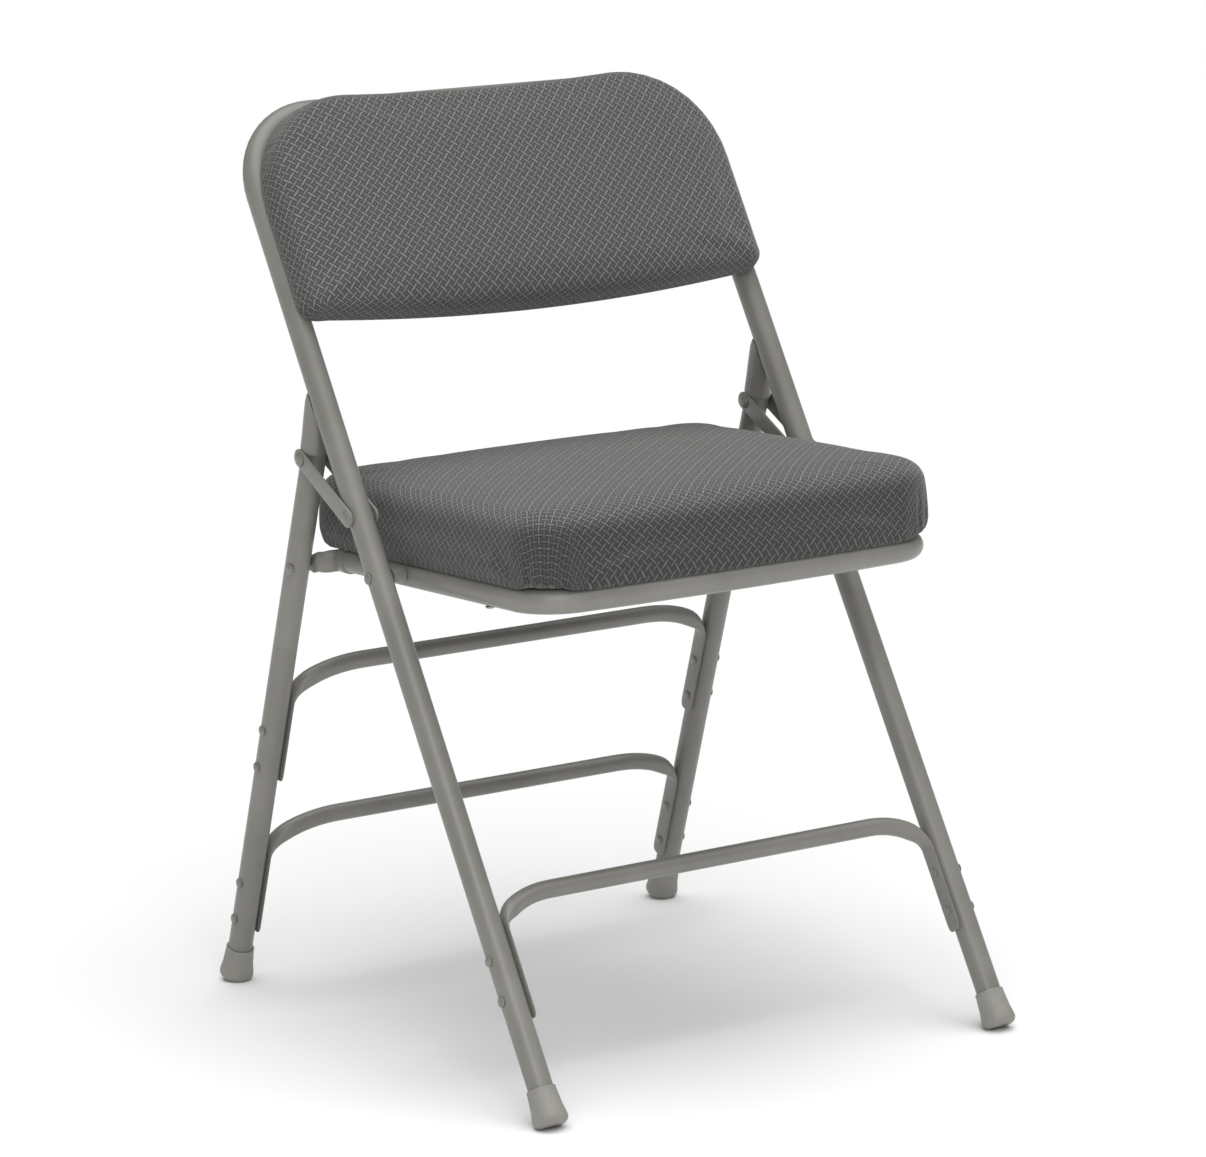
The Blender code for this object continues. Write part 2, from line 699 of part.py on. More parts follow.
def rear_leg_cap(side, sign, body, material):
    """The hooded cap on a rear leg, hollowed at the front where it leans on the front tube."""
    x = sign * HALF_TRACK
    base = rear_along(CAP_START_Z)
    plug = TUBE_R - TUBE_WALL - GAP
    narrow = TUBE_R + 0.1
    sections = [
        (rear_point(x, base - 3.0), X, REAR_BACK, plug, plug),
        (rear_point(x, base), X, REAR_BACK, plug, plug),
        (rear_point(x, base), X, REAR_BACK, narrow, TUBE_R + 0.6),
        (rear_point(x, base + CAP_LENGTH * 0.4, 3.4), X, REAR_BACK, narrow, TUBE_R + 0.6),
        (rear_point(x, base + CAP_LENGTH * 0.75, 4.0), X, REAR_BACK, narrow, TUBE_R),
        (rear_point(x, base + CAP_LENGTH * 0.93, -1.0), X, REAR_BACK, narrow - 0.6, TUBE_R - 3.4),
        (rear_point(x, base + CAP_LENGTH, -7.0), X, REAR_BACK, narrow - 2.0, TUBE_R - 6.6),
    ]
    cap = loft(f"rear_leg_cap_{side}", sections, body, material, TUBE_SIDES)
    saddle = arc(0.0, 0.0, TUBE_R + CAP_CLEARANCE, 0, 180, 8)
    saddle += [(-TUBE_R - CAP_CLEARANCE, -CAP_LENGTH), (TUBE_R + CAP_CLEARANCE, -CAP_LENGTH)]
    low = front_along(CAP_START_Z) - CAP_LENGTH

    def beside_tube(across, back, up):
        return front_point(x + across, low + up, back)

    name = f"rear_leg_cap_{side}_saddle"
    cut_away(cap, plate(name, saddle, beside_tube, 0.0, 3.0 * CAP_LENGTH, body, None))


def rear_pivot_rivet(side, sign, body, material):
    outer = TUBE_R + GAP
    inner = -TUBE_R - 2.0 * GAP - 5.2
    profile = [
        (outer + 2.0, 2.8),
        (outer, 4.8),
        (outer, PIVOT_SHANK),
        (inner, PIVOT_SHANK),
        (inner, 5.4),
        (inner - 2.0, 3.2),
    ]
    centre = REAR_PIVOT + X * sign * HALF_TRACK
    turned(f"rear_pivot_rivet_{side}", centre, X * sign, profile, body, material)


# Links


def link(side, sign, place, body, material, rivet_material):
    """One flat link and the rivet at its upper end. place is 1 outside the tubes and -1 inside."""
    axis = LINK_UPPER - LINK_LOWER
    length = axis.length
    along = axis.normalized()
    across = X.cross(along)
    near = TUBE_R + LINK_GAP
    centre_x = sign * HALF_TRACK
    name = f"link_{side}_{'outer' if place > 0 else 'inner'}"

    def at(a, b, depth):
        x = centre_x + sign * place * depth
        return LINK_LOWER + X * x + along * a + across * b

    outline = arc(length + LINK_OVERHANG, 0.0, LINK_HALF_WIDTH, -90, 90, 6)
    outline += arc(0.0, 0.0, LINK_HALF_WIDTH, 90, 270, 6)
    strap = plate(name, outline, at, near, near + LINK_THICK, body, material)
    middle = near + LINK_THICK / 2.0
    hole = PIVOT_SHANK + HOLE_GAP
    drill(strap, [(at(0.0, 0.0, middle), X, hole, 4.0), (at(length, 0.0, middle), X, hole, 4.0)])
    profile = [
        (TUBE_R + 0.5, PIVOT_SHANK),
        (near + LINK_THICK + GAP, PIVOT_SHANK),
        (near + LINK_THICK + GAP, 6.0),
        (near + LINK_THICK + GAP + 2.0, 3.6),
    ]
    centre = LINK_UPPER + X * centre_x
    rivet_name = name.replace("link_", "link_rivet_")
    turned(rivet_name, centre, X * sign * place, profile, body, rivet_material)


def build():
    clear_scene()
    paint = make_material("frame_paint", PAINT, 0.42)
    rivet_paint = make_material("rivet_paint", PAINT, 0.38)
    sleeve = make_material("foot_plastic", SLEEVE, 0.5)
    fabric = make_material("woven_fabric", FABRIC, 0.9)
    plywood = make_material("plywood", PLYWOOD, 0.7)
    lining = make_material("lining_cloth", LINING, 0.95)
    zinc = make_material("zinc_screw", ZINC, 0.35, 1.0)

    frame = make_body("front_frame_body", Vector((0.0, 0.0, 0.0)))
    seat = make_body("seat_body", SEAT_PIVOT)
    rear = make_body("rear_legs_body", REAR_PIVOT)
    sides = (("left", -1), ("right", 1))

    front_tube(frame, paint)
    run = front_along(FRONT_BRACE_Z)
    brace("front_brace", front_point, run, FRONT_BRACE, FRONT_BACK, frame, paint)
    brace_rivets("front_brace", front_point, run, FRONT_BRACE, frame, rivet_paint)
    back_panel(frame, plywood, fabric, lining)
    back_screws(frame, zinc)

    seat_frame(seat, paint)
    seat_panel(seat, plywood, fabric, lining)
    seat_screws(seat, zinc)

    for name, height in (("rear_upper_brace", UPPER_BRACE_Z), ("rear_lower_brace", LOWER_BRACE_Z)):
        run = rear_along(height)
        brace(name, rear_point, run, REAR_BRACE, REAR_BACK, rear, paint)
        brace_rivets(name, rear_point, run, REAR_BRACE, rear, rivet_paint)

    for side, sign in sides:
        x = sign * HALF_TRACK

        def front_leg(w, x=x):
            return front_point(x, w)

        def back_leg(w, x=x):
            return rear_point(x, w)

        foot(f"front_foot_{side}", front_leg, FRONT_UP, FRONT_SOLE, frame, sleeve)
        seat_pivot_parts(side, sign, frame, rivet_paint)
        link_pivot(side, sign, frame, rivet_paint)
        seat_hinge_bracket(side, sign, seat, paint)
        rear_leg(side, sign, rear, paint)
        rear_leg_cap(side, sign, rear, paint)
        rear_pivot_rivet(side, sign, rear, rivet_paint)
        foot(f"rear_foot_{side}", back_leg, REAR_UP, REAR_SOLE, rear, sleeve)
        links = make_body(f"{side}_link_body", LINK_LOWER)
        for place in (1, -1):
            link(side, sign, place, links, paint, rivet_paint)


build()
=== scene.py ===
"""A padded folding chair of steel tube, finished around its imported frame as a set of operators."""

import json
import math

import bpy
import numpy as np
from mathutils import Matrix, Vector


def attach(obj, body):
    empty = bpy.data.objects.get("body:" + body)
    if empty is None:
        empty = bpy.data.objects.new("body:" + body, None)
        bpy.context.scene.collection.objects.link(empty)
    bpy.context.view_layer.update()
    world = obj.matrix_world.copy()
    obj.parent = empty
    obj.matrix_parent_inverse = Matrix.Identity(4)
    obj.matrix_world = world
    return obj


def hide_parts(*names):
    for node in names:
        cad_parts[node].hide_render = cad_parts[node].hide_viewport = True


bl_info = {
    "name": "Padded Folding Chair",
    "version": (1, 0, 0),
    "blender": (4, 5, 0),
    "location": "3D View > Sidebar > Chair",
    "description": "Builds the finished pieces of a padded steel folding chair",
    "category": "Add Mesh",
}

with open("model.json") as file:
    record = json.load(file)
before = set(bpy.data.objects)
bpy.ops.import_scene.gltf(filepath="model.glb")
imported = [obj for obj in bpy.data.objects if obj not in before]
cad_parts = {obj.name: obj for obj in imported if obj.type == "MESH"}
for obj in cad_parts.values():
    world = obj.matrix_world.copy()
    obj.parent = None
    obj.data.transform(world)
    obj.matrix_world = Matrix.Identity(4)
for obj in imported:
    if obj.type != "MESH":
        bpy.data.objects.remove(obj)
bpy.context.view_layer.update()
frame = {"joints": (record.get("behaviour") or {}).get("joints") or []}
JOINTS = {joint["name"]: Vector(joint["pos_m"]) for joint in frame["joints"]}
SEAT_PIVOT = JOINTS["seat_fold"]
LINK_LOWER = JOINTS["left_link_hinge"]
REAR_PIVOT = JOINTS["rear_leg_hinge"]
FRONT_FOOT_Y = -0.268485
FOOT_SPAN = 0.5336
GAP = 0.0003
STRAP_GAP = 0.0008
LINING_GAP = 0.0016
SOLE_DEPTH = 0.0088
BRACE_FLAT = (0.0016, 0.0088)
# a brace's bend: its reach across, its drop, and how far down its ends go
FRONT_BEND = (0.055, 0.030, 0.107)
REAR_BEND = (0.072, 0.032, 0.113)
FRONT_DROPS = (0.052, 0.088)
REAR_DROPS = (0.059, 0.097)
SHANK = 0.0026
PIVOT_SHANK = 0.0032
STAPLE_RADIUS = 0.00035
STAPLE_LENGTH = 0.010
PUFF_PRESSURE = 4.0
PUFF_REACH = 0.0022
SEAT_BULGE = 0.0048
SEAT_DRAW_IN = 0.0040
SEAT_BOW = 0.0056
BACK_DROOP = 0.0115
BACK_DIP = 0.0050
SIM_FRAMES = 20
TUBE_SIDES = 48
RIVET_SIDES = 28
BEND_STEPS = 14
SIDES = (("left", -1), ("right", 1))


def length(label, default, words):
    return bpy.props.FloatProperty(
        name=label, default=default, description=words, unit="LENGTH", precision=4
    )


def angle(label, degrees, words):
    return bpy.props.FloatProperty(
        name=label, default=math.radians(degrees), description=words, subtype="ANGLE"
    )


def colour(label, default, words):
    return bpy.props.FloatVectorProperty(
        name=label, default=default, description=words, subtype="COLOR", size=4, min=0.0, max=1.0
    )


class ChairFrameSizes(bpy.types.PropertyGroup):
    """Sizes of the tubes, braces, rivets, links, feet and caps."""

    tube_radius: length("Tube radius", 0.0111, "Outer radius of the leg and seat tubes")
    tube_wall: length("Tube wall", 0.0012, "Wall of every tube")
    brace_radius: length("Brace radius", 0.00795, "Outer radius of the braces")
    half_track: length("Half track", 0.238, "Centre of a leg from the middle of the chair")
    front_lean: angle("Front lean", 31.84, "Lean of the front legs and back from upright")
    rear_lean: angle("Rear lean", 17.525, "Lean of the rear legs from upright")
    seat_tilt: angle("Seat tilt", 2.8, "Rise of the seat frame towards the front")
    loop_top: length("Loop top", 0.940, "Centre of the top bar, along the front leg's axis")
    loop_bend: length("Loop bend", 0.0755, "Radius of the back loop's corners")
    front_brace_height: length("Front brace", 0.1727, "Height of the front brace")
    upper_brace_height: length("Upper brace", 0.3092, "Height of the upper rear brace")
    lower_brace_height: length("Lower brace", 0.1559, "Height of the lower rear brace")
    seat_rail_x: length("Seat rail", 0.202, "Centre of a seat rail from the middle")
    seat_rail_z: length("Rail height", 0.423, "Height of the seat rails at the pivot")
    seat_rear: length("Rail rear", 0.105, "Rear end of the rails behind the pivot")
    seat_front: length("Rail front", 0.202, "Centre of the front bar ahead of the pivot")
    seat_bend: length("Seat bend", 0.040, "Radius of the seat frame's front corners")
    crossbar_back: length("Crossbar", 0.086, "Crossbar behind the pivot")
    foot_radius: length("Foot radius", 0.0155, "Widest radius of a foot")
    foot_length: length("Foot length", 0.033, "Length of a foot along the leg")
    front_sole: length("Front sole", 0.0034, "Front sole's start on the leg's axis")
    rear_sole: length("Rear sole", 0.0020, "Rear sole's start on the leg's axis")
    cap_start: length("Cap start", 0.520, "Height where the rear leg's cap starts")
    cap_length: length("Cap length", 0.060, "Length of the cap")
    link_top: length("Link top", 0.5137, "Height of a link's upper rivet")
    link_thick: length("Link thickness", 0.0022, "Thickness of a link")
    link_half_width: length("Link half width", 0.0080, "Half the width of a link")


class ChairPadSizes(bpy.types.PropertyGroup):
    """Sizes of the two cushions and their linings."""

    seat_half_width: length("Seat half width", 0.2118, "Half the seat cushion's width")
    seat_front: length("Seat front", 0.2135, "Cushion's front ahead of the seat pivot")
    seat_rear: length("Seat rear", 0.1545, "Cushion's rear behind the seat pivot")
    seat_base: length("Seat base", 0.0085, "Underside's edge above the rails' centre")
    seat_top: length("Seat top", 0.0745, "Top edge above the rails' centre")
    seat_crown: length("Seat crown", 0.0100, "Rise of the seat's middle over its edges")
    seat_round: length("Seat front corners", 0.044, "Radius of the front corners")
    seat_rear_round: length("Seat rear corners", 0.026, "Radius of the rear corners")
    back_half_width: length("Back half width", 0.2440, "Half the back cushion's width")
    back_bottom: length("Back bottom", 0.7235, "Lower edge along the front leg's axis")
    back_top: length("Back top", 0.9450, "Upper edge along the front leg's axis")
    back_base: length("Back base", 0.0116, "Rear face ahead of the loop's centre plane")
    back_face: length("Back face", 0.0390, "Front edge ahead of the loop's centre plane")
    back_crown: length("Back crown", 0.0135, "Rise of the back's middle over its edges")
    back_round: length("Back top corners", 0.100, "Radius of the top corners")
    back_low_round: length("Back low corners", 0.017, "Radius of the bottom corners")
    edge_round: length("Edge round", 0.015, "Radius of the cushions' top edges")
    voxel: length("Remesh size", 0.005, "Grain of the cushions' simulated mesh")


class ChairFinishes(bpy.types.PropertyGroup):
    """Colours and scales of the finishes."""

    paint: colour("Paint", (0.228, 0.222, 0.202, 1.0), "Powder coat on the frame")
    paint_deep: colour("Paint, deep", (0.198, 0.193, 0.174, 1.0), "Thicker patches of the coat")
    sleeve: colour("Feet", (0.292, 0.282, 0.256, 1.0), "Moulded feet")
    sleeve_deep: colour("Feet, deep", (0.250, 0.242, 0.220, 1.0), "Darker clouds in the feet")
    ground: colour("Cloth ground", (0.063, 0.061, 0.061, 1.0), "Dark ground of the cloth")
    yarn: colour("Cloth yarn", (0.242, 0.237, 0.232, 1.0), "Light yarns of the lattice")
    dot: colour("Cloth dot", (0.118, 0.115, 0.113, 1.0), "Tuft in each square of the lattice")
    pitch: length("Lattice pitch", 0.0059, "Distance between the light yarns")
    stretch: bpy.props.FloatProperty(
        name="Lattice stretch", default=0.98, description="Lattice height over its width", min=0.1
    )
    lining: colour("Lining", (0.018, 0.018, 0.020, 1.0), "Dust cover cloth")
    zinc: colour("Zinc", (0.56, 0.56, 0.55, 1.0), "Plated screws")


class ChairStage(bpy.types.PropertyGroup):
    """Camera, floor and light."""

    azimuth: angle("Azimuth", -33.826, "Camera's turn round the chair")
    elevation: angle("Elevation", 12.274, "Camera's height over the target")
    roll: angle("Roll", -0.505, "Camera's roll")
    distance: length("Distance", 4.2934, "Camera to target")
    focal: bpy.props.FloatProperty(
        name="Focal length", default=146.39, description="Lens in millimetres", min=1.0
    )
    target: bpy.props.FloatVectorProperty(
        name="Target",
        default=(-0.03624, -0.048485, 0.4064),
        description="Point in the middle of the view",
        subtype="TRANSLATION",
    )
    floor: colour("Floor", (0.97, 0.97, 0.97, 1.0), "Pale floor")
    sky: bpy.props.FloatProperty(
        name="Sky", default=0.25, description="Strength of the room's even light", min=0.0
    )
    sun: bpy.props.FloatProperty(
        name="Overhead light", default=2.55, description="Strength of the soft top light", min=0.0
    )
    key: bpy.props.FloatProperty(
        name="Key light", default=14.0, description="Power of the soft light by the camera", min=0.0
    )


# Editing by hand


def only(obj):
    bpy.ops.object.select_all(action="DESELECT")
    obj.select_set(True)
    bpy.context.view_layer.objects.active = obj


def edit(obj):
    only(obj)
    bpy.ops.object.mode_set(mode="EDIT")


def leave_edit():
    bpy.ops.object.mode_set(mode="OBJECT")


def apply_place(obj):
    only(obj)
    bpy.ops.object.transform_apply(location=True, rotation=True, scale=True)


def add_circle(
    name, radius, at=(0.0, 0.0, 0.0), turn=(0.0, 0.0, 0.0), sides=TUBE_SIDES, fill="NOTHING"
):
    """A new object holding one circle, left in edit mode with the circle selected."""
    bpy.ops.object.select_all(action="DESELECT")
    bpy.ops.mesh.primitive_circle_add(
        vertices=sides, radius=radius, fill_type=fill, location=at, rotation=turn
    )
    obj = bpy.context.object
    obj.name = obj.data.name = name
    apply_place(obj)
    bpy.ops.object.mode_set(mode="EDIT")
    bpy.ops.mesh.select_all(action="SELECT")
    return obj


def run(x=0.0, y=0.0, z=0.0):
    """Draws what is selected on in a straight line."""
    bpy.ops.mesh.extrude_region_move(TRANSFORM_OT_translate={"value": (x, y, z)})


def bend(turn, centre, axis, steps=BEND_STEPS):
    """Sweeps the selected ring round an axis through centre, right-handed."""
    reverse = [-value for value in axis]
    bpy.ops.mesh.spin(steps=steps, angle=turn, center=centre, axis=reverse)


def swell(factor, centre):
    bpy.ops.transform.resize(value=(factor, factor, factor), center_override=centre)


def pick(obj, test):
    """Selects the vertices that pass test, and what lies between them, in edit mode."""
    leave_edit()
    for vertex in obj.data.vertices:
        vertex.select = test(vertex.co)
    for edge in obj.data.edges:
        edge.select = all(obj.data.vertices[i].select for i in edge.vertices)
    for face in obj.data.polygons:
        face.select = all(obj.data.vertices[i].select for i in face.vertices)
    bpy.ops.object.mode_set(mode="EDIT")


def apply_modifier(obj, kind, **settings):
    only(obj)
    modifier = obj.modifiers.new(kind.title(), kind)
    for key, value in settings.items():
        setattr(modifier, key, value)
    bpy.ops.object.modifier_apply(modifier=modifier.name)


def face_outwards(obj):
    edit(obj)
    bpy.ops.mesh.select_all(action="SELECT")
    bpy.ops.mesh.remove_doubles(threshold=0.00001)
    bpy.ops.mesh.normals_make_consistent(inside=False)
    leave_edit()


def give_wall(obj, wall):
    """Turns an open tube into a closed one with a wall."""
    face_outwards(obj)
    apply_modifier(obj, "SOLIDIFY", thickness=wall, offset=-1.0)


def soften(obj, width, segments=2, limit=35.0):
    apply_modifier(
        obj,
        "BEVEL",
        width=width,
        segments=segments,
        limit_method="ANGLE",
        angle_limit=math.radians(limit),
    )


def lathe(name, profile, sides=RIVET_SIDES):
    """A closed turned solid. profile is (radius, height) from the bottom up."""
    radius, height = profile[0]
    obj = add_circle(name, radius, (0.0, 0.0, height), sides=sides, fill="NGON")
    for next_radius, next_height in profile[1:]:
        run(z=next_height - height)
        swell(next_radius / radius, (0.0, 0.0, next_height))
        radius, height = next_radius, next_height
    leave_edit()
    return obj


def loft(name, stations, sides=TUBE_SIDES):
    """A closed solid through ellipses. A station is (centre, half x, half y, turn about Y)."""
    obj = None
    for centre, half_x, half_y, turn in stations:
        if obj is None:
            obj = add_circle(name, 1.0, centre, sides=sides)
        else:
            bpy.ops.mesh.select_all(action="DESELECT")
            bpy.ops.mesh.primitive_circle_add(vertices=sides, radius=1.0, location=centre)
        bpy.ops.transform.resize(value=(half_x, half_y, 1.0), center_override=centre)
        bpy.ops.transform.rotate(value=-turn, orient_axis="Y", center_override=centre)
    bpy.ops.mesh.select_all(action="SELECT")
    bpy.ops.mesh.bridge_edge_loops()
    bpy.ops.mesh.select_all(action="SELECT")
    bpy.ops.mesh.fill_holes(sides=0)
    leave_edit()
    return obj


def copy_of(obj, name):
    twin = obj.copy()
    twin.data = obj.data.copy()
    twin.name = twin.data.name = name
    bpy.context.scene.collection.objects.link(twin)
    return twin


def place(obj, turn, origin):
    """Turns obj about X, moves it to origin, and settles that into its mesh."""
    obj.rotation_euler = (turn, 0.0, 0.0)
    obj.location = origin
    apply_place(obj)
    return obj


def join(name, *objects):
    bpy.ops.object.select_all(action="DESELECT")
    for obj in objects:
        obj.select_set(True)
    bpy.context.view_layer.objects.active = objects[0]
    bpy.ops.object.join()
    objects[0].name = objects[0].data.name = name
    return objects[0]


def finish(obj, body, slot, material, *nodes, crease=32.0):
    """Shades the piece, paints it, and lets it ride on its body in place of its CAD nodes."""
    face_outwards(obj)
    only(obj)
    bpy.ops.object.shade_smooth_by_angle(angle=math.radians(crease))
    obj.data.materials.clear()
    obj.data.materials.append(material)
    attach(obj, body)
    if nodes:
        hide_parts(*nodes)
    return obj


# Where things are


def sizes():
    return bpy.context.scene.chair_frame


def pads():
    return bpy.context.scene.chair_pads


def finishes():
    return bpy.context.scene.chair_finishes


def front_space():
    """Turn and origin of the front frame's plane: Z runs up the legs and Y behind them."""
    return -sizes().front_lean, Vector((0.0, FRONT_FOOT_Y, 0.0))


def rear_space():
    return sizes().rear_lean, Vector((0.0, FRONT_FOOT_Y + FOOT_SPAN, 0.0))


def seat_space():
    return -sizes().seat_tilt, Vector((0.0, SEAT_PIVOT.y, sizes().seat_rail_z))


def world_point(space, x, y, z):
    turn, origin = space
    return Matrix.Rotation(turn, 3, "X") @ Vector((x, y, z)) + origin


def along_front(height):
    return height / math.cos(sizes().front_lean)


def along_rear(height):
    return height / math.cos(sizes().rear_lean)


def brace_rows():
    """Each brace's node, body, space, place along its legs, bend, and rivets' drops below it."""
    size = sizes()
    front = (front_space(), along_front(size.front_brace_height), FRONT_BEND, FRONT_DROPS)
    upper = (rear_space(), along_rear(size.upper_brace_height), REAR_BEND, REAR_DROPS)
    lower = (rear_space(), along_rear(size.lower_brace_height), REAR_BEND, REAR_DROPS)
    return (
        ("front_brace", "front_frame", *front),
        ("rear_upper_brace", "rear_legs", *upper),
        ("rear_lower_brace", "rear_legs", *lower),
    )


# Finishes


def new_group(name, inputs, outputs):
    group = bpy.data.node_groups.new(name, "ShaderNodeTree")
    for label, kind, default in inputs:
        socket = group.interface.new_socket(label, in_out="INPUT", socket_type=kind)
        if default is not None:
            socket.default_value = default
    for label, kind in outputs:
        group.interface.new_socket(label, in_out="OUTPUT", socket_type=kind)
    source = group.nodes.new("NodeGroupInput")
    target = group.nodes.new("NodeGroupOutput")
    return group, source.outputs, target.inputs


def feed(tree, socket, value):
    if isinstance(value, bpy.types.NodeSocket):
        tree.links.new(value, socket)
    else:
        socket.default_value = value


def calc(tree, operation, *values, clamp=False):
    node = tree.nodes.new("ShaderNodeMath")
    node.operation = operation
    node.use_clamp = clamp
    for socket, value in zip(node.inputs, values):
        feed(tree, socket, value)
    return node.outputs[0]


def ramp(tree, value, low, high, to_low=0.0, to_high=1.0):
    """Smoothly maps value from low..high to to_low..to_high."""
    node = tree.nodes.new("ShaderNodeMapRange")
    node.interpolation_type = "SMOOTHSTEP"
    for label, number in (
        ("Value", value),
        ("From Min", low),
        ("From Max", high),
        ("To Min", to_low),
        ("To Max", to_high),
    ):
        feed(tree, node.inputs[label], number)
    return node.outputs["Result"]


def blend_colours(tree, amount, first, second):
    node = tree.nodes.new("ShaderNodeMix")
    node.data_type = "RGBA"
    feed(tree, node.inputs["Factor"], amount)
    feed(tree, node.inputs[6], first)
    feed(tree, node.inputs[7], second)
    return node.outputs[2]


def noise(tree, vector, scale, detail=3.0, roughness=0.55):
    node = tree.nodes.new("ShaderNodeTexNoise")
    feed(tree, node.inputs["Vector"], vector)
    feed(tree, node.inputs["Scale"], scale)
    node.inputs["Detail"].default_value = detail
    node.inputs["Roughness"].default_value = roughness
    return node.outputs["Fac"]


def coat_group():
    """Sprayed or moulded surface: slow clouds of colour, fine orange peel, rubbed spots."""
    name = "coat_surface"
    if name in bpy.data.node_groups:
        return bpy.data.node_groups[name]
    group, source, target = new_group(
        name,
        (
            ("Vector", "NodeSocketVector", None),
            ("Base", "NodeSocketColor", (0.3, 0.3, 0.3, 1.0)),
            ("Deep", "NodeSocketColor", (0.2, 0.2, 0.2, 1.0)),
            ("Cloud scale", "NodeSocketFloat", 18.0),
            ("Grain scale", "NodeSocketFloat", 900.0),
            ("Gloss", "NodeSocketFloat", 0.36),
        ),
        (
            ("Color", "NodeSocketColor"),
            ("Roughness", "NodeSocketFloat"),
            ("Height", "NodeSocketFloat"),
        ),
    )
    vector = source["Vector"]
    cloud = noise(group, vector, source["Cloud scale"], 4.0)
    grain = noise(group, vector, source["Grain scale"], 2.0)
    rub = noise(group, vector, calc(group, "MULTIPLY", source["Cloud scale"], 5.0), 6.0, 0.7)
    rubbed = ramp(group, rub, 0.60, 0.72)
    mask = ramp(group, cloud, 0.35, 0.65)
    tone = blend_colours(group, mask, source["Deep"], source["Base"])
    speck = ramp(group, grain, 0.58, 0.75, 0.0, 0.25)
    feed(group, target["Color"], blend_colours(group, speck, tone, source["Deep"]))
    rough = calc(group, "ADD", source["Gloss"], calc(group, "MULTIPLY", mask, 0.05))
    rough = calc(group, "ADD", rough, calc(group, "MULTIPLY", rubbed, 0.10))
    feed(group, target["Roughness"], rough)
    feed(group, target["Height"], calc(group, "ADD", grain, calc(group, "MULTIPLY", rubbed, -0.2)))
    return group


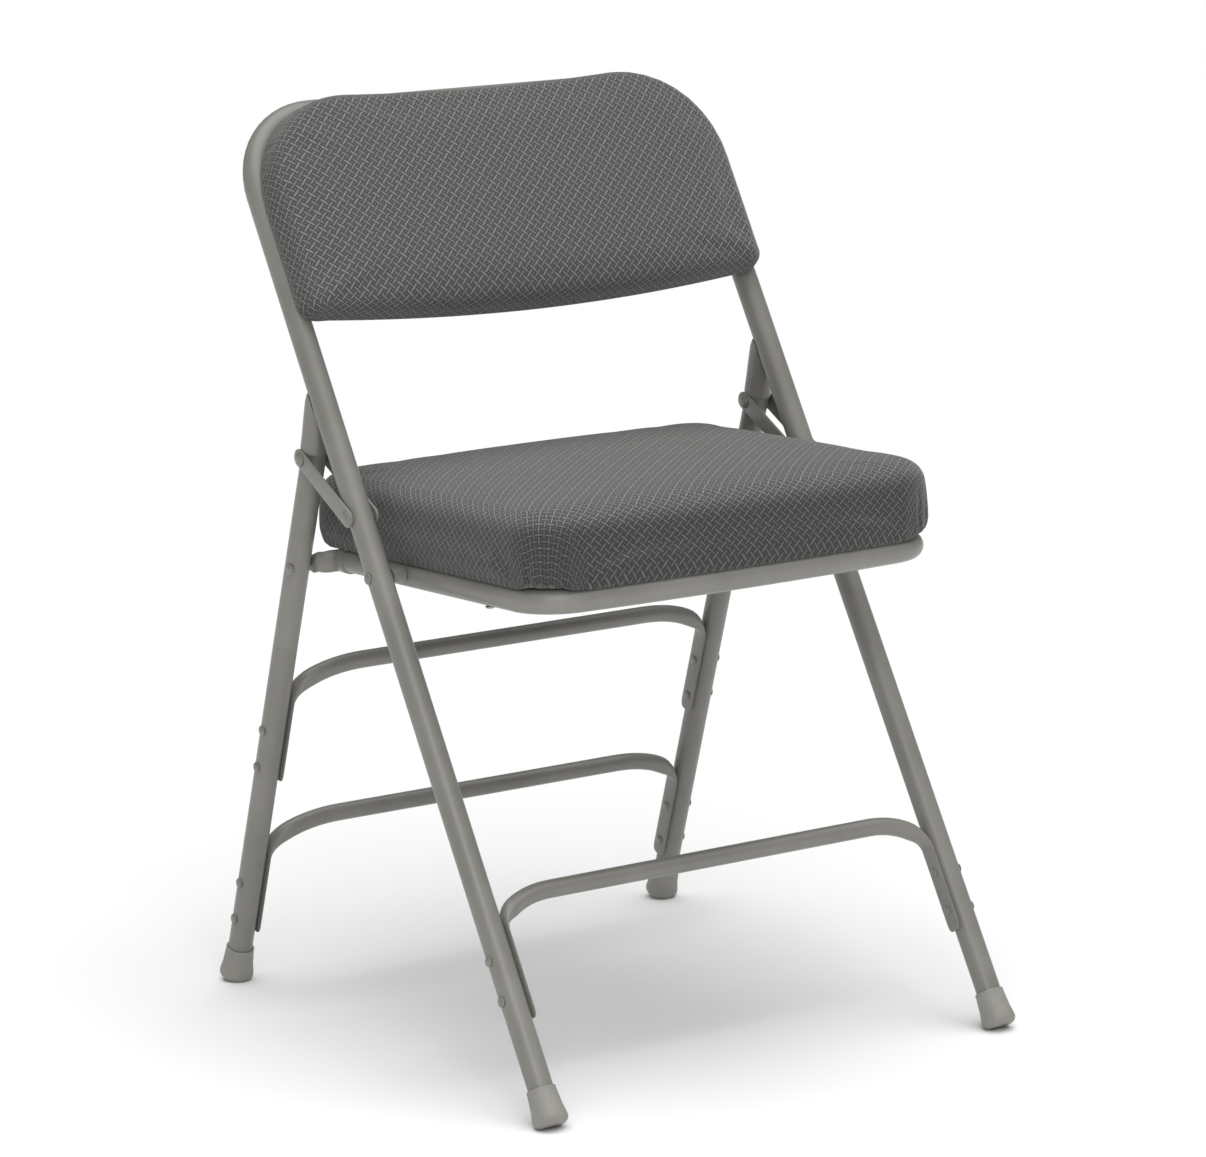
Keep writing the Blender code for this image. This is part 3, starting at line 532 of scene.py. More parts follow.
def lattice_group():
    """Two-tone cloth: a dark ground crossed by light diagonal yarns that pass over and under."""
    name = "lattice_cloth"
    if name in bpy.data.node_groups:
        return bpy.data.node_groups[name]
    group, source, target = new_group(
        name,
        (
            ("Vector", "NodeSocketVector", None),
            ("Pitch", "NodeSocketFloat", 0.009),
            ("Ground", "NodeSocketColor", (0.06, 0.06, 0.06, 1.0)),
            ("Yarn", "NodeSocketColor", (0.25, 0.25, 0.24, 1.0)),
            ("Dot", "NodeSocketColor", (0.12, 0.12, 0.11, 1.0)),
        ),
        (
            ("Color", "NodeSocketColor"),
            ("Roughness", "NodeSocketFloat"),
            ("Height", "NodeSocketFloat"),
        ),
    )
    wander = group.nodes.new("ShaderNodeTexNoise")
    wander.inputs["Scale"].default_value = 60.0
    wander.inputs["Detail"].default_value = 1.0
    feed(group, wander.inputs["Vector"], source["Vector"])
    drift = group.nodes.new("ShaderNodeVectorMath")
    drift.operation = "MULTIPLY_ADD"
    feed(group, drift.inputs[0], wander.outputs["Color"])
    drift.inputs[1].default_value = (0.0012, 0.0012, 0.0)
    feed(group, drift.inputs[2], source["Vector"])
    split = group.nodes.new("ShaderNodeSeparateXYZ")
    feed(group, split.inputs[0], drift.outputs[0])
    diagonal = calc(group, "MULTIPLY", source["Pitch"], math.sqrt(2.0))
    across = calc(group, "DIVIDE", calc(group, "ADD", split.outputs[0], split.outputs[1]), diagonal)
    along = calc(
        group, "DIVIDE", calc(group, "SUBTRACT", split.outputs[0], split.outputs[1]), diagonal
    )
    masks = []
    heights = []
    for place_on, run_on, start in ((across, along, 0.0), (along, across, math.pi)):
        index = calc(group, "ROUND", place_on)
        off = calc(group, "ABSOLUTE", calc(group, "SUBTRACT", place_on, index))
        phase = calc(group, "MULTIPLY", calc(group, "ADD", run_on, index), math.pi)
        parity = calc(group, "COSINE", calc(group, "MULTIPLY", index, math.pi))
        strength = ramp(group, parity, -1.0, 1.0, 0.74, 1.0)
        lift = calc(group, "COSINE", calc(group, "ADD", phase, start))
        shown = ramp(group, lift, -1.0, 0.6)
        width = calc(group, "ADD", 0.130, calc(group, "MULTIPLY", shown, 0.045))
        core = calc(group, "MULTIPLY", width, 0.45)
        line = calc(group, "SUBTRACT", 1.0, ramp(group, off, core, width))
        shade = calc(group, "MULTIPLY", strength, ramp(group, lift, -1.0, 0.2, 0.15, 1.0))
        masks.append(calc(group, "MULTIPLY", line, shade))
        heights.append(calc(group, "MULTIPLY", line, ramp(group, lift, -1.0, 1.0, 0.35, 1.0)))
    yarn = calc(group, "MAXIMUM", masks[0], masks[1])
    spread = []
    for value in (across, along):
        cell = calc(group, "SUBTRACT", value, calc(group, "FLOOR", value))
        spread.append(calc(group, "POWER", calc(group, "SUBTRACT", cell, 0.5), 2.0))
    radius = calc(group, "SQRT", calc(group, "ADD", spread[0], spread[1]))
    tuft = calc(group, "SUBTRACT", 1.0, ramp(group, radius, 0.09, 0.21))
    tight = calc(group, "MULTIPLY", diagonal, 0.088)
    fine = []
    for value in (split.outputs[0], split.outputs[1]):
        turn = calc(group, "DIVIDE", calc(group, "MULTIPLY", value, math.tau), tight)
        fine.append(calc(group, "COSINE", turn))
    weave = calc(group, "MULTIPLY", fine[0], fine[1])
    fibre = noise(group, source["Vector"], 1500.0, 2.0)
    base = blend_colours(group, tuft, source["Ground"], source["Dot"])
    base = blend_colours(group, ramp(group, weave, -1.0, 1.0, 0.0, 0.22), base, source["Dot"])
    base = blend_colours(group, yarn, base, source["Yarn"])
    dark = calc(group, "MULTIPLY", ramp(group, fibre, 0.35, 0.65), 0.22)
    feed(group, target["Color"], blend_colours(group, dark, base, source["Ground"]))
    feed(group, target["Roughness"], ramp(group, fibre, 0.2, 0.8, 0.78, 0.95))
    relief = calc(group, "MULTIPLY", calc(group, "MAXIMUM", heights[0], heights[1]), 0.75)
    relief = calc(group, "ADD", relief, calc(group, "MULTIPLY", tuft, 0.25))
    relief = calc(group, "ADD", relief, calc(group, "MULTIPLY", weave, 0.07))
    feed(group, target["Height"], calc(group, "ADD", relief, calc(group, "MULTIPLY", fibre, 0.12)))
    return group


def fibre_group():
    """Pressed fibre cloth or bare wood: stretched streaks over a fine grain."""
    name = "streaked_fibre"
    if name in bpy.data.node_groups:
        return bpy.data.node_groups[name]
    group, source, target = new_group(
        name,
        (
            ("Vector", "NodeSocketVector", None),
            ("Light", "NodeSocketColor", (0.5, 0.4, 0.3, 1.0)),
            ("Dark", "NodeSocketColor", (0.3, 0.2, 0.1, 1.0)),
            ("Streak scale", "NodeSocketFloat", 60.0),
            ("Grain scale", "NodeSocketFloat", 900.0),
        ),
        (("Color", "NodeSocketColor"), ("Height", "NodeSocketFloat")),
    )
    streak = noise(group, source["Vector"], source["Streak scale"], 5.0, 0.6)
    grain = noise(group, source["Vector"], source["Grain scale"], 2.0)
    mask = ramp(group, calc(group, "ADD", streak, calc(group, "MULTIPLY", grain, 0.15)), 0.42, 0.72)
    feed(group, target["Color"], blend_colours(group, mask, source["Light"], source["Dark"]))
    feed(group, target["Height"], calc(group, "ADD", calc(group, "MULTIPLY", streak, 0.6), grain))
    return group


def new_material(name):
    """A material with its Principled shader, and the tree they are in."""
    material = bpy.data.materials.new(name)
    material.use_nodes = True
    tree = material.node_tree
    return material, tree, tree.nodes["Principled BSDF"]


def use_group(tree, group, **values):
    node = tree.nodes.new("ShaderNodeGroup")
    node.node_tree = group
    for label, value in values.items():
        feed(tree, node.inputs[label.replace("_", " ")], value)
    return node.outputs


def own_coordinates(tree, stretch=(1.0, 1.0, 1.0)):
    where = tree.nodes.new("ShaderNodeTexCoord")
    mapping = tree.nodes.new("ShaderNodeMapping")
    mapping.inputs["Scale"].default_value = stretch
    tree.links.new(where.outputs["Object"], mapping.inputs["Vector"])
    return mapping.outputs["Vector"]


def raise_surface(tree, shader, height, strength, distance):
    bump = tree.nodes.new("ShaderNodeBump")
    bump.inputs["Strength"].default_value = strength
    bump.inputs["Distance"].default_value = distance
    tree.links.new(height, bump.inputs["Height"])
    tree.links.new(bump.outputs["Normal"], shader.inputs["Normal"])


def coat_material(name, base, deep, cloud, grain, gloss, depth, metallic=0.0, specular=0.5):
    if name in bpy.data.materials:
        return bpy.data.materials[name]
    material, tree, shader = new_material(name)
    out = use_group(
        tree,
        coat_group(),
        Vector=own_coordinates(tree),
        Base=tuple(base),
        Deep=tuple(deep),
        Cloud_scale=cloud,
        Grain_scale=grain,
        Gloss=gloss,
    )
    tree.links.new(out["Color"], shader.inputs["Base Color"])
    tree.links.new(out["Roughness"], shader.inputs["Roughness"])
    shader.inputs["Metallic"].default_value = metallic
    shader.inputs["Specular IOR Level"].default_value = specular
    raise_surface(tree, shader, out["Height"], 0.35, depth)
    return material


def paint_material():
    look = finishes()
    return coat_material(
        "warm_grey_powder_coat", look.paint, look.paint_deep, 14.0, 750.0, 0.34, 0.00018
    )


def rivet_material():
    look = finishes()
    return coat_material(
        "coated_rivet", look.paint, look.paint_deep, 60.0, 1100.0, 0.30, 0.00012, 0.15
    )


def sleeve_material():
    look = finishes()
    return coat_material(
        "moulded_sleeve", look.sleeve, look.sleeve_deep, 26.0, 1600.0, 0.50, 0.00012
    )


def zinc_material():
    look = finishes()
    dull = [0.72 * value for value in look.zinc[:3]] + [1.0]
    return coat_material("zinc_plate", look.zinc, dull, 120.0, 2200.0, 0.26, 0.00006, 1.0)


def cloth_material(name):
    if name in bpy.data.materials:
        return bpy.data.materials[name]
    look = finishes()
    material, tree, shader = new_material(name)
    laid = tree.nodes.new("ShaderNodeUVMap")
    laid.uv_map = "cloth"
    mapping = tree.nodes.new("ShaderNodeMapping")
    mapping.inputs["Scale"].default_value = (look.stretch, 1.0, 1.0)
    tree.links.new(laid.outputs["UV"], mapping.inputs["Vector"])
    out = use_group(
        tree,
        lattice_group(),
        Vector=mapping.outputs["Vector"],
        Pitch=look.pitch,
        Ground=tuple(look.ground),
        Yarn=tuple(look.yarn),
        Dot=tuple(look.dot),
    )
    # painted shade: the cloth's colour is darkened towards black on the walls by the shade stored on
    # the mesh
    painted_wall_shade = tree.nodes.new("ShaderNodeAttribute")
    painted_wall_shade.attribute_name = "painted_wall_shade"
    shaded = blend_colours(tree, painted_wall_shade.outputs["Fac"], (0.0, 0.0, 0.0, 1.0), out["Color"])
    tree.links.new(shaded, shader.inputs["Base Color"])
    tree.links.new(out["Roughness"], shader.inputs["Roughness"])
    shader.inputs["Specular IOR Level"].default_value = 0.25
    shader.inputs["Sheen Weight"].default_value = 0.32
    shader.inputs["Sheen Roughness"].default_value = 0.42
    shader.inputs["Sheen Tint"].default_value = (0.86, 0.86, 0.83, 1.0)
    raise_surface(tree, shader, out["Height"], 0.85, 0.0005)
    return material


def fibre_material(name, light, dark, streak, grain, stretch, rough, depth):
    if name in bpy.data.materials:
        return bpy.data.materials[name]
    material, tree, shader = new_material(name)
    out = use_group(
        tree,
        fibre_group(),
        Vector=own_coordinates(tree, stretch),
        Light=tuple(light),
        Dark=tuple(dark),
        Streak_scale=streak,
        Grain_scale=grain,
    )
    tree.links.new(out["Color"], shader.inputs["Base Color"])
    shader.inputs["Roughness"].default_value = rough
    raise_surface(tree, shader, out["Height"], 0.5, depth)
    return material


def lining_material():
    look = finishes()
    pale = [2.1 * value for value in look.lining[:3]] + [1.0]
    return fibre_material(
        "dust_cover", look.lining, pale, 240.0, 1500.0, (1.0, 1.0, 1.0), 0.9, 0.0004
    )


class ChairOperator:
    """Shared settings of the chair's operators."""

    bl_options = {"REGISTER", "UNDO"}


# Tubes


class CHAIR_OT_front_tube(ChairOperator, bpy.types.Operator):
    """Bend the front legs and the back loop from one tube"""

    bl_idname = "chair.front_tube"
    bl_label = "Front tube"

    def execute(self, context):
        size = sizes()
        track, turn = size.half_track, size.loop_bend
        start = size.front_sole + SOLE_DEPTH
        rise = size.loop_top - turn
        tube = add_circle("front_tube", size.tube_radius, (-track, 0.0, start))
        run(z=rise - start)
        bend(math.pi / 2.0, (turn - track, 0.0, rise), (0.0, 1.0, 0.0))
        run(x=2.0 * (track - turn))
        bend(math.pi / 2.0, (track - turn, 0.0, rise), (0.0, 1.0, 0.0))
        run(z=start - rise)
        leave_edit()
        give_wall(tube, size.tube_wall)
        place(tube, *front_space())
        finish(tube, "front_frame", "frame_paint", paint_material(), "front_frame_tube")
        return {"FINISHED"}


class CHAIR_OT_rear_tubes(ChairOperator, bpy.types.Operator):
    """Cut the two rear legs"""

    bl_idname = "chair.rear_tubes"
    bl_label = "Rear legs"

    def execute(self, context):
        size = sizes()
        start = size.rear_sole + SOLE_DEPTH
        for side, sign in SIDES:
            leg = add_circle(
                f"rear_tube_{side}", size.tube_radius, (sign * size.half_track, 0.0, start)
            )
            run(z=along_rear(size.cap_start) + 0.004 - start)
            leave_edit()
            give_wall(leg, size.tube_wall)
            place(leg, *rear_space())
            finish(leg, "rear_legs", "frame_paint", paint_material(), f"rear_leg_{side}")
        return {"FINISHED"}


class CHAIR_OT_seat_tube(ChairOperator, bpy.types.Operator):
    """Bend the seat frame with its bowed front bar, and weld in the crossbar"""

    bl_idname = "chair.seat_tube"
    bl_label = "Seat frame"

    def execute(self, context):
        size = sizes()
        rail, corner = size.seat_rail_x, size.seat_bend
        slack = math.radians(3.95)
        corner_x = rail - corner
        corner_y = -(size.seat_front - corner)
        tube = add_circle(
            "seat_tube", size.tube_radius, (-rail, size.seat_rear, 0.0), (math.pi / 2.0, 0.0, 0.0)
        )
        run(y=corner_y - size.seat_rear)
        upright = (0.0, 0.0, 1.0)
        bend(math.pi / 2.0 - slack, (-corner_x, corner_y, 0.0), upright)
        sweep = (corner_x + corner * math.sin(slack)) / math.sin(slack)
        bow_y = corner_y + (sweep - corner) * math.cos(slack)
        bend(2.0 * slack, (0.0, bow_y, 0.0), upright, 20)
        bend(math.pi / 2.0 - slack, (corner_x, corner_y, 0.0), upright)
        run(y=size.seat_rear - corner_y)
        leave_edit()
        give_wall(tube, size.tube_wall)
        place(tube, *seat_space())
        finish(tube, "seat", "frame_paint", paint_material(), "seat_frame_tube")
        reach = rail - size.tube_radius * 0.93
        bar = add_circle(
            "seat_crossbar_tube",
            size.brace_radius,
            (-reach, size.crossbar_back, 0.0),
            (0.0, math.pi / 2.0, 0.0),
        )
        run(x=2.0 * reach)
        leave_edit()
        give_wall(bar, size.tube_wall)
        beads = []
        for _, sign in SIDES:
            bpy.ops.object.select_all(action="DESELECT")
            bpy.ops.mesh.primitive_torus_add(
                major_segments=40,
                minor_segments=8,
                major_radius=size.brace_radius + 0.0004,
                minor_radius=0.0013,
                location=(sign * (reach - 0.0012), size.crossbar_back, 0.0),
                rotation=(0.0, math.pi / 2.0, 0.0),
            )
            bead = bpy.context.object
            apply_place(bead)
            wander = np.random.default_rng(7 + sign)
            for vertex in bead.data.vertices:
                vertex.co.x += float(wander.normal(0.0, 0.00012))
            beads.append(bead)
        bar = join("seat_crossbar_tube", bar, *beads)
        place(bar, *seat_space())
        finish(bar, "seat", "frame_paint", paint_material(), "seat_crossbar")
        return {"FINISHED"}


def brace_stations(across, down, end):
    """Stations of a brace from the left end over the run to the right end."""
    size = sizes()
    thick, wide = BRACE_FLAT
    flat_x = size.half_track - size.tube_radius - GAP - thick
    half = [
        (flat_x, -end, thick * 0.6, wide * 0.62),
        (flat_x, -end + 0.0016, thick, wide * 0.84),
        (flat_x, -end + 0.0045, thick, wide * 0.97),
        (flat_x, -end + 0.009, thick, wide),
        (flat_x, -down - 0.012, thick, wide),
    ]
    steps = 16
    for step in range(steps + 1):
        turn = 0.5 * math.pi * step / steps
        blend = min(turn / math.radians(44.0), 1.0)
        blend = blend * blend * (3.0 - 2.0 * blend)
        half.append(
            (
                flat_x - across * (1.0 - math.cos(turn)),
                -down * (1.0 - math.sin(turn)),
                thick + (size.brace_radius - thick) * blend,
                wide + (size.brace_radius - wide) * blend,
            )
        )
    points = [(-x, z, a, b) for x, z, a, b in half] + half[::-1]
    stations = []
    for index, (x, z, a, b) in enumerate(points):
        before = points[max(index - 1, 0)]
        after = points[min(index + 1, len(points) - 1)]
        turn = math.atan2(after[0] - before[0], after[1] - before[1])
        stations.append(((x, 0.0, z), a, b, turn))
    return stations


class CHAIR_OT_braces(ChairOperator, bpy.types.Operator):
    """Form the three braces with their flattened, turned-down ends"""

    bl_idname = "chair.braces"
    bl_label = "Braces"

    def execute(self, context):
        for node, body, space, height, shape, _ in brace_rows():
            bar = loft(f"{node}_tube", brace_stations(*shape), 32)
            bar.location = (0.0, 0.0, height)
            apply_place(bar)
            place(bar, *space)
            finish(bar, body, "frame_paint", paint_material(), node, crease=40.0)
        return {"FINISHED"}


# Rivets, links and brackets


def dome(radius, base, rise, steps=5):
    """Profile of a domed head from its rim up. rise is negative for a head that points down."""
    points = [(radius * 0.97, base), (radius, base + rise * 0.12)]
    for step in range(1, steps + 1):
        turn = 0.5 * math.pi * step / steps
        across = max(radius * math.cos(turn), radius * 0.06)
        points.append((across, base + rise * (0.12 + 0.88 * math.sin(turn))))
    return points


def rivet_profile(outer, outer_radius, outer_rise, inner, inner_radius, inner_rise, shank):
    """Profile from the inner head's tip to the outer head's tip, outwards being up."""
    low = dome(inner_radius, inner, -inner_rise)[::-1]
    return low + [(shank, inner), (shank, outer)] + dome(outer_radius, outer, outer_rise)


class CHAIR_OT_rivets(ChairOperator, bpy.types.Operator):
    """Set the rivets through the legs, braces, seat rails and rear hinges"""

    bl_idname = "chair.rivets"
    bl_label = "Rivets"

    def execute(self, context):
        size = sizes()
        tube = size.tube_radius + GAP
        flat = 2.0 * BRACE_FLAT[0]
        track, rail = size.half_track, size.seat_rail_x
        brace = lathe(
            "rivet_pattern",
            rivet_profile(tube, 0.0048, 0.0019, -tube - flat - GAP, 0.0041, 0.0015, SHANK),
        )
        rows = []
        for node, body, space, height, _, drops in brace_rows():
            for level, drop in zip(("upper", "lower"), drops):
                point = world_point(space, 0.0, 0.0, height - drop)
                rows.append((brace, f"{node}_rivet", f"_{level}", body, point))
        seat = lathe(
            "rivet_pattern",
            rivet_profile(tube, 0.0050, 0.0024, rail - track - tube, 0.0048, 0.0021, PIVOT_SHANK),
        )
        rows.append((seat, "seat_pivot_rivet", "", "front_frame", SEAT_PIVOT))
        rear = lathe(
            "rivet_pattern",
            rivet_profile(tube, 0.0050, 0.0022, -tube - 0.0052, 0.0054, 0.0021, PIVOT_SHANK),
        )
        rows.append((rear, "rear_pivot_rivet", "", "rear_legs", REAR_PIVOT))
        strap = size.tube_radius + STRAP_GAP + size.link_thick + GAP
        pivot = lathe(
            "rivet_pattern",
            rivet_profile(strap, 0.0064, 0.0026, -strap, 0.0058, 0.0020, PIVOT_SHANK),
        )
        rows.append((pivot, "link_pivot_rivet", "", "front_frame", LINK_LOWER))
        for pattern, stem, level, body, point in rows:
            for side, sign in SIDES:
                node = f"{stem}_{side}{level}"
                head = copy_of(pattern, f"{stem}_head_{side}{level}")
                head.rotation_euler = (0.0, sign * math.pi / 2.0, 0.0)
                head.location = (sign * track, point[1], point[2])
                apply_place(head)
                finish(head, body, "rivet_paint", rivet_material(), node, crease=50.0)
        spacer = lathe(
            "rivet_pattern",
            [(0.0060, -0.0066), (0.0066, -0.0060), (0.0066, 0.0060), (0.0060, 0.0066)],
        )
        for side, sign in SIDES:
            ring = copy_of(spacer, f"seat_pivot_collar_{side}")
            ring.rotation_euler = (0.0, math.pi / 2.0, 0.0)
            ring.location = (sign * (track + rail) / 2.0, SEAT_PIVOT.y, SEAT_PIVOT.z)
            apply_place(ring)
            node = f"seat_pivot_spacer_{side}"
            finish(ring, "front_frame", "rivet_paint", rivet_material(), node)
        for pattern in (brace, seat, rear, pivot, spacer):
            bpy.data.objects.remove(pattern)
        return {"FINISHED"}


class CHAIR_OT_links(ChairOperator, bpy.types.Operator):
    """Stamp the four round-ended links and their upper rivets"""

    bl_idname = "chair.links"
    bl_label = "Links"

    def execute(self, context):
        size = sizes()
        top = world_point(rear_space(), 0.0, 0.0, along_rear(size.link_top))
        axis = top - LINK_LOWER
        lean = math.atan2(axis.y, axis.z)
        half, thick = size.link_half_width, size.link_thick
        near = size.tube_radius + STRAP_GAP
        strap = add_circle("link_pattern", half, sides=40, fill="NGON")
        pick(strap, lambda co: co.y > 0.0001)
        bpy.ops.transform.translate(value=(0.0, axis.length + 0.002, 0.0))
        bpy.ops.mesh.select_all(action="SELECT")
        run(z=thick)
        leave_edit()
        face_outwards(strap)
        soften(strap, 0.0006, 3)
        boss = lathe(
            "link_boss", [(0.0072, 0.0), (0.0072, 0.0004), (0.0062, 0.0009), (0.0052, 0.0009)]
        )
        boss.location = (0.0, 0.0, thick)
        apply_place(boss)
        pressed = join("link_pattern", copy_of(strap, "link_face"), boss)
        rivet = lathe(
            "link_rivet_pattern",
            [(PIVOT_SHANK, -thick - GAP), (PIVOT_SHANK, 0.0)] + dome(0.0062, 0.0, 0.0024),
        )
        for side, sign in SIDES:
            body = f"{side}_link"
            for name, way in (("outer", 1), ("inner", -1)):
                out = sign * way
                source = pressed if way > 0 else strap
                piece = copy_of(source, f"link_strap_{side}_{name}")
                # the strap lies in XY with its length along Y: stand it up along the link's axis
                piece.matrix_world = Matrix.Translation(
                    (sign * size.half_track + out * near, LINK_LOWER.y, LINK_LOWER.z)
                ) @ Matrix(
                    (
                        (0.0, 0.0, out, 0.0),
                        (math.cos(lean) * out, math.sin(lean), 0.0, 0.0),
                        (-math.sin(lean) * out, math.cos(lean), 0.0, 0.0),
                        (0.0, 0.0, 0.0, 1.0),
                    )
                )
                apply_place(piece)
                node = f"link_{side}_{name}"
                finish(piece, body, "frame_paint", paint_material(), node)
                head = copy_of(rivet, f"link_rivet_head_{side}_{name}")
                head.rotation_euler = (0.0, out * math.pi / 2.0, 0.0)
                head.location = (sign * size.half_track + out * (near + thick + GAP), top.y, top.z)
                apply_place(head)
                node = f"link_rivet_{side}_{name}"
                finish(head, body, "rivet_paint", rivet_material(), node, crease=50.0)
        for pattern in (strap, pressed, rivet):
            bpy.data.objects.remove(pattern)
        return {"FINISHED"}


class CHAIR_OT_brackets(ChairOperator, bpy.types.Operator):
    """Form the collars on the rails' rear ends and flatten their tongues beside the rear legs"""

    bl_idname = "chair.brackets"
    bl_label = "Rear hinge brackets"

    def execute(self, context):
        size = sizes()
        turn, origin = seat_space()
        start = world_point(seat_space(), 0.0, size.seat_rear, 0.0)
        offset = Matrix.Rotation(-turn, 3, "X") @ (REAR_PIVOT - start)
        reach, drop = offset.y, offset.z
        tongue_x = size.half_track - size.tube_radius - GAP - 0.0026
        rail, collar = size.seat_rail_x, size.tube_radius + 0.0008
        middle = rail * 0.35 + tongue_x * 0.65
        # along the rail, across, up, half width, half height
        rows = (
            (-0.012, rail, 0.0, 0.0090, 0.0090),
            (0.0002, rail, 0.0, 0.0090, 0.0090),
            (0.0003, rail, 0.0, collar - 0.0006, collar - 0.0006),
            (0.0010, rail, 0.0, collar + 0.0006, collar + 0.0006),
            (0.0098, rail, 0.0, collar + 0.0006, collar + 0.0006),
            (0.0105, rail, 0.0, collar - 0.0008, collar - 0.0008),
            (0.0107, rail, 0.0, 0.0094, 0.0098),
            (0.0125, rail * 0.72 + middle * 0.28, -0.0005, 0.0086, 0.0098),
            (0.0155, middle, -0.0010, 0.0056, 0.0100),
            (0.0185, middle * 0.4 + tongue_x * 0.6, drop * 0.25, 0.0034, 0.0094),
            (0.0215, tongue_x, drop * 0.5 + 0.0020, 0.0026, 0.0090),
            (reach, tongue_x, drop + 0.0026, 0.0026, 0.0086),
            (reach + 0.0045, tongue_x, drop + 0.0020, 0.0026, 0.0072),
            (reach + 0.0070, tongue_x, drop + 0.0014, 0.0025, 0.0050),
            (reach + 0.0084, tongue_x, drop + 0.0010, 0.0022, 0.0024),
        )
        for side, sign in SIDES:
            stations = [((sign * x, -up, out), a, b, 0.0) for out, x, up, a, b in rows]
            piece = loft(f"seat_hinge_{side}", stations, 40)
            piece.rotation_euler = (-math.pi / 2.0, 0.0, 0.0)
            apply_place(piece)
            piece.location = (0.0, size.seat_rear, 0.0)
            apply_place(piece)
            place(piece, turn, origin)
            node = f"seat_hinge_bracket_{side}"
            finish(piece, "seat", "frame_paint", paint_material(), node, crease=38.0)
        return {"FINISHED"}


# Feet and caps


class CHAIR_OT_feet(ChairOperator, bpy.types.Operator):
    """Mould the four flared feet, worn flat on the floor"""

    bl_idname = "chair.feet"
    bl_label = "Feet"

    def execute(self, context):
        size = sizes()
        wide, tall = size.foot_radius, size.foot_length
        socket = size.tube_radius + 0.0001
        rounding = 0.0062
        profile = [(wide - rounding - 0.004, 0.0002), (wide - rounding, 0.0)]
        for step in range(1, 7):
            turn = math.radians(15.0 * step)
            profile.append(
                (wide - rounding * (1.0 - math.sin(turn)), rounding * (1.0 - math.cos(turn)))
            )
        profile += [
            (wide - 0.0006, 0.0105),
            (wide - 0.0016, 0.0160),
            (0.0131, 0.0260),
            (0.0127, tall - 0.0022),
            (0.0129, tall - 0.0010),
            (0.0125, tall - 0.0002),
            (0.0119, tall),
            (socket, tall - 0.0004),
            (socket, SOLE_DEPTH),
            (0.0010, SOLE_DEPTH - 0.0002),
        ]
        pattern = lathe("foot_pattern", profile, 48)
        rows = (
            ("front", "front_frame", front_space(), size.front_sole),
            ("rear", "rear_legs", rear_space(), size.rear_sole),
        )
        for row, body, space, sole in rows:
            for side, sign in SIDES:
                foot = copy_of(pattern, f"{row}_foot_sleeve_{side}")
                foot.location = (sign * size.half_track, 0.0, sole)
                apply_place(foot)
                place(foot, *space)
                edit(foot)
                bpy.ops.mesh.select_all(action="SELECT")
                bpy.ops.mesh.bisect(
                    plane_co=(0.0, 0.0, 0.0),
                    plane_no=(0.0, 0.0, 1.0),
                    use_fill=True,
                    clear_inner=True,
                )
                leave_edit()
                node = f"{row}_foot_{side}"
                finish(foot, body, "foot_plastic", sleeve_material(), node, crease=50.0)
        bpy.data.objects.remove(pattern)
        return {"FINISHED"}


class CHAIR_OT_caps(ChairOperator, bpy.types.Operator):
    """Form the hooded caps that close the rear legs against the front tube"""

    bl_idname = "chair.caps"
    bl_label = "Rear leg caps"

    def execute(self, context):
        size = sizes()
        base = along_rear(size.cap_start)
        tall, round_ = size.cap_length, size.tube_radius
        narrow = round_ + 0.0003
        # share of the length, rearward shift, half width, half depth
        rows = (
            (0.000, 0.0002, narrow - 0.0001, round_ + 0.0004),
            (0.012, 0.0004, narrow + 0.0009, round_ + 0.0016),
            (0.030, 0.0006, narrow + 0.0010, round_ + 0.0017),
            (0.150, 0.0018, narrow + 0.0006, round_ + 0.0013),
            (0.300, 0.0030, narrow + 0.0003, round_ + 0.0010),
            (0.450, 0.0042, narrow + 0.0002, round_ + 0.0008),
            (0.600, 0.0054, narrow, round_ + 0.0005),
            (0.740, 0.0062, narrow, round_ + 0.0002),
            (0.840, 0.0058, narrow - 0.0003, round_ - 0.0006),
            (0.915, 0.0042, narrow - 0.0010, round_ - 0.0018),
            (0.965, 0.0018, narrow - 0.0020, round_ - 0.0034),
            (1.000, -0.0014, narrow - 0.0042, round_ - 0.0058),
        )
        for side, sign in SIDES:
            x = sign * size.half_track
            stations = [((x, back, base + share * tall), a, b, 0.0) for share, back, a, b in rows]
            cap = loft(f"rear_leg_hood_{side}", stations, 48)
            place(cap, *rear_space())
            saddle = add_circle("saddle", round_ + 0.0006, (x, 0.0, 0.55), sides=64, fill="NGON")
            pick(saddle, lambda co: co.y < -0.0001)
            bpy.ops.transform.translate(value=(0.0, -0.06, 0.0))
            bpy.ops.mesh.select_all(action="SELECT")
            run(z=0.2)
            leave_edit()
            face_outwards(saddle)
            place(saddle, *front_space())
            face_outwards(cap)
            apply_modifier(cap, "BOOLEAN", operation="DIFFERENCE", solver="EXACT", object=saddle)
            bpy.data.objects.remove(saddle)
            node = f"rear_leg_cap_{side}"
            finish(cap, "rear_legs", "frame_paint", paint_material(), node, crease=42.0)
        return {"FINISHED"}


# Upholstery


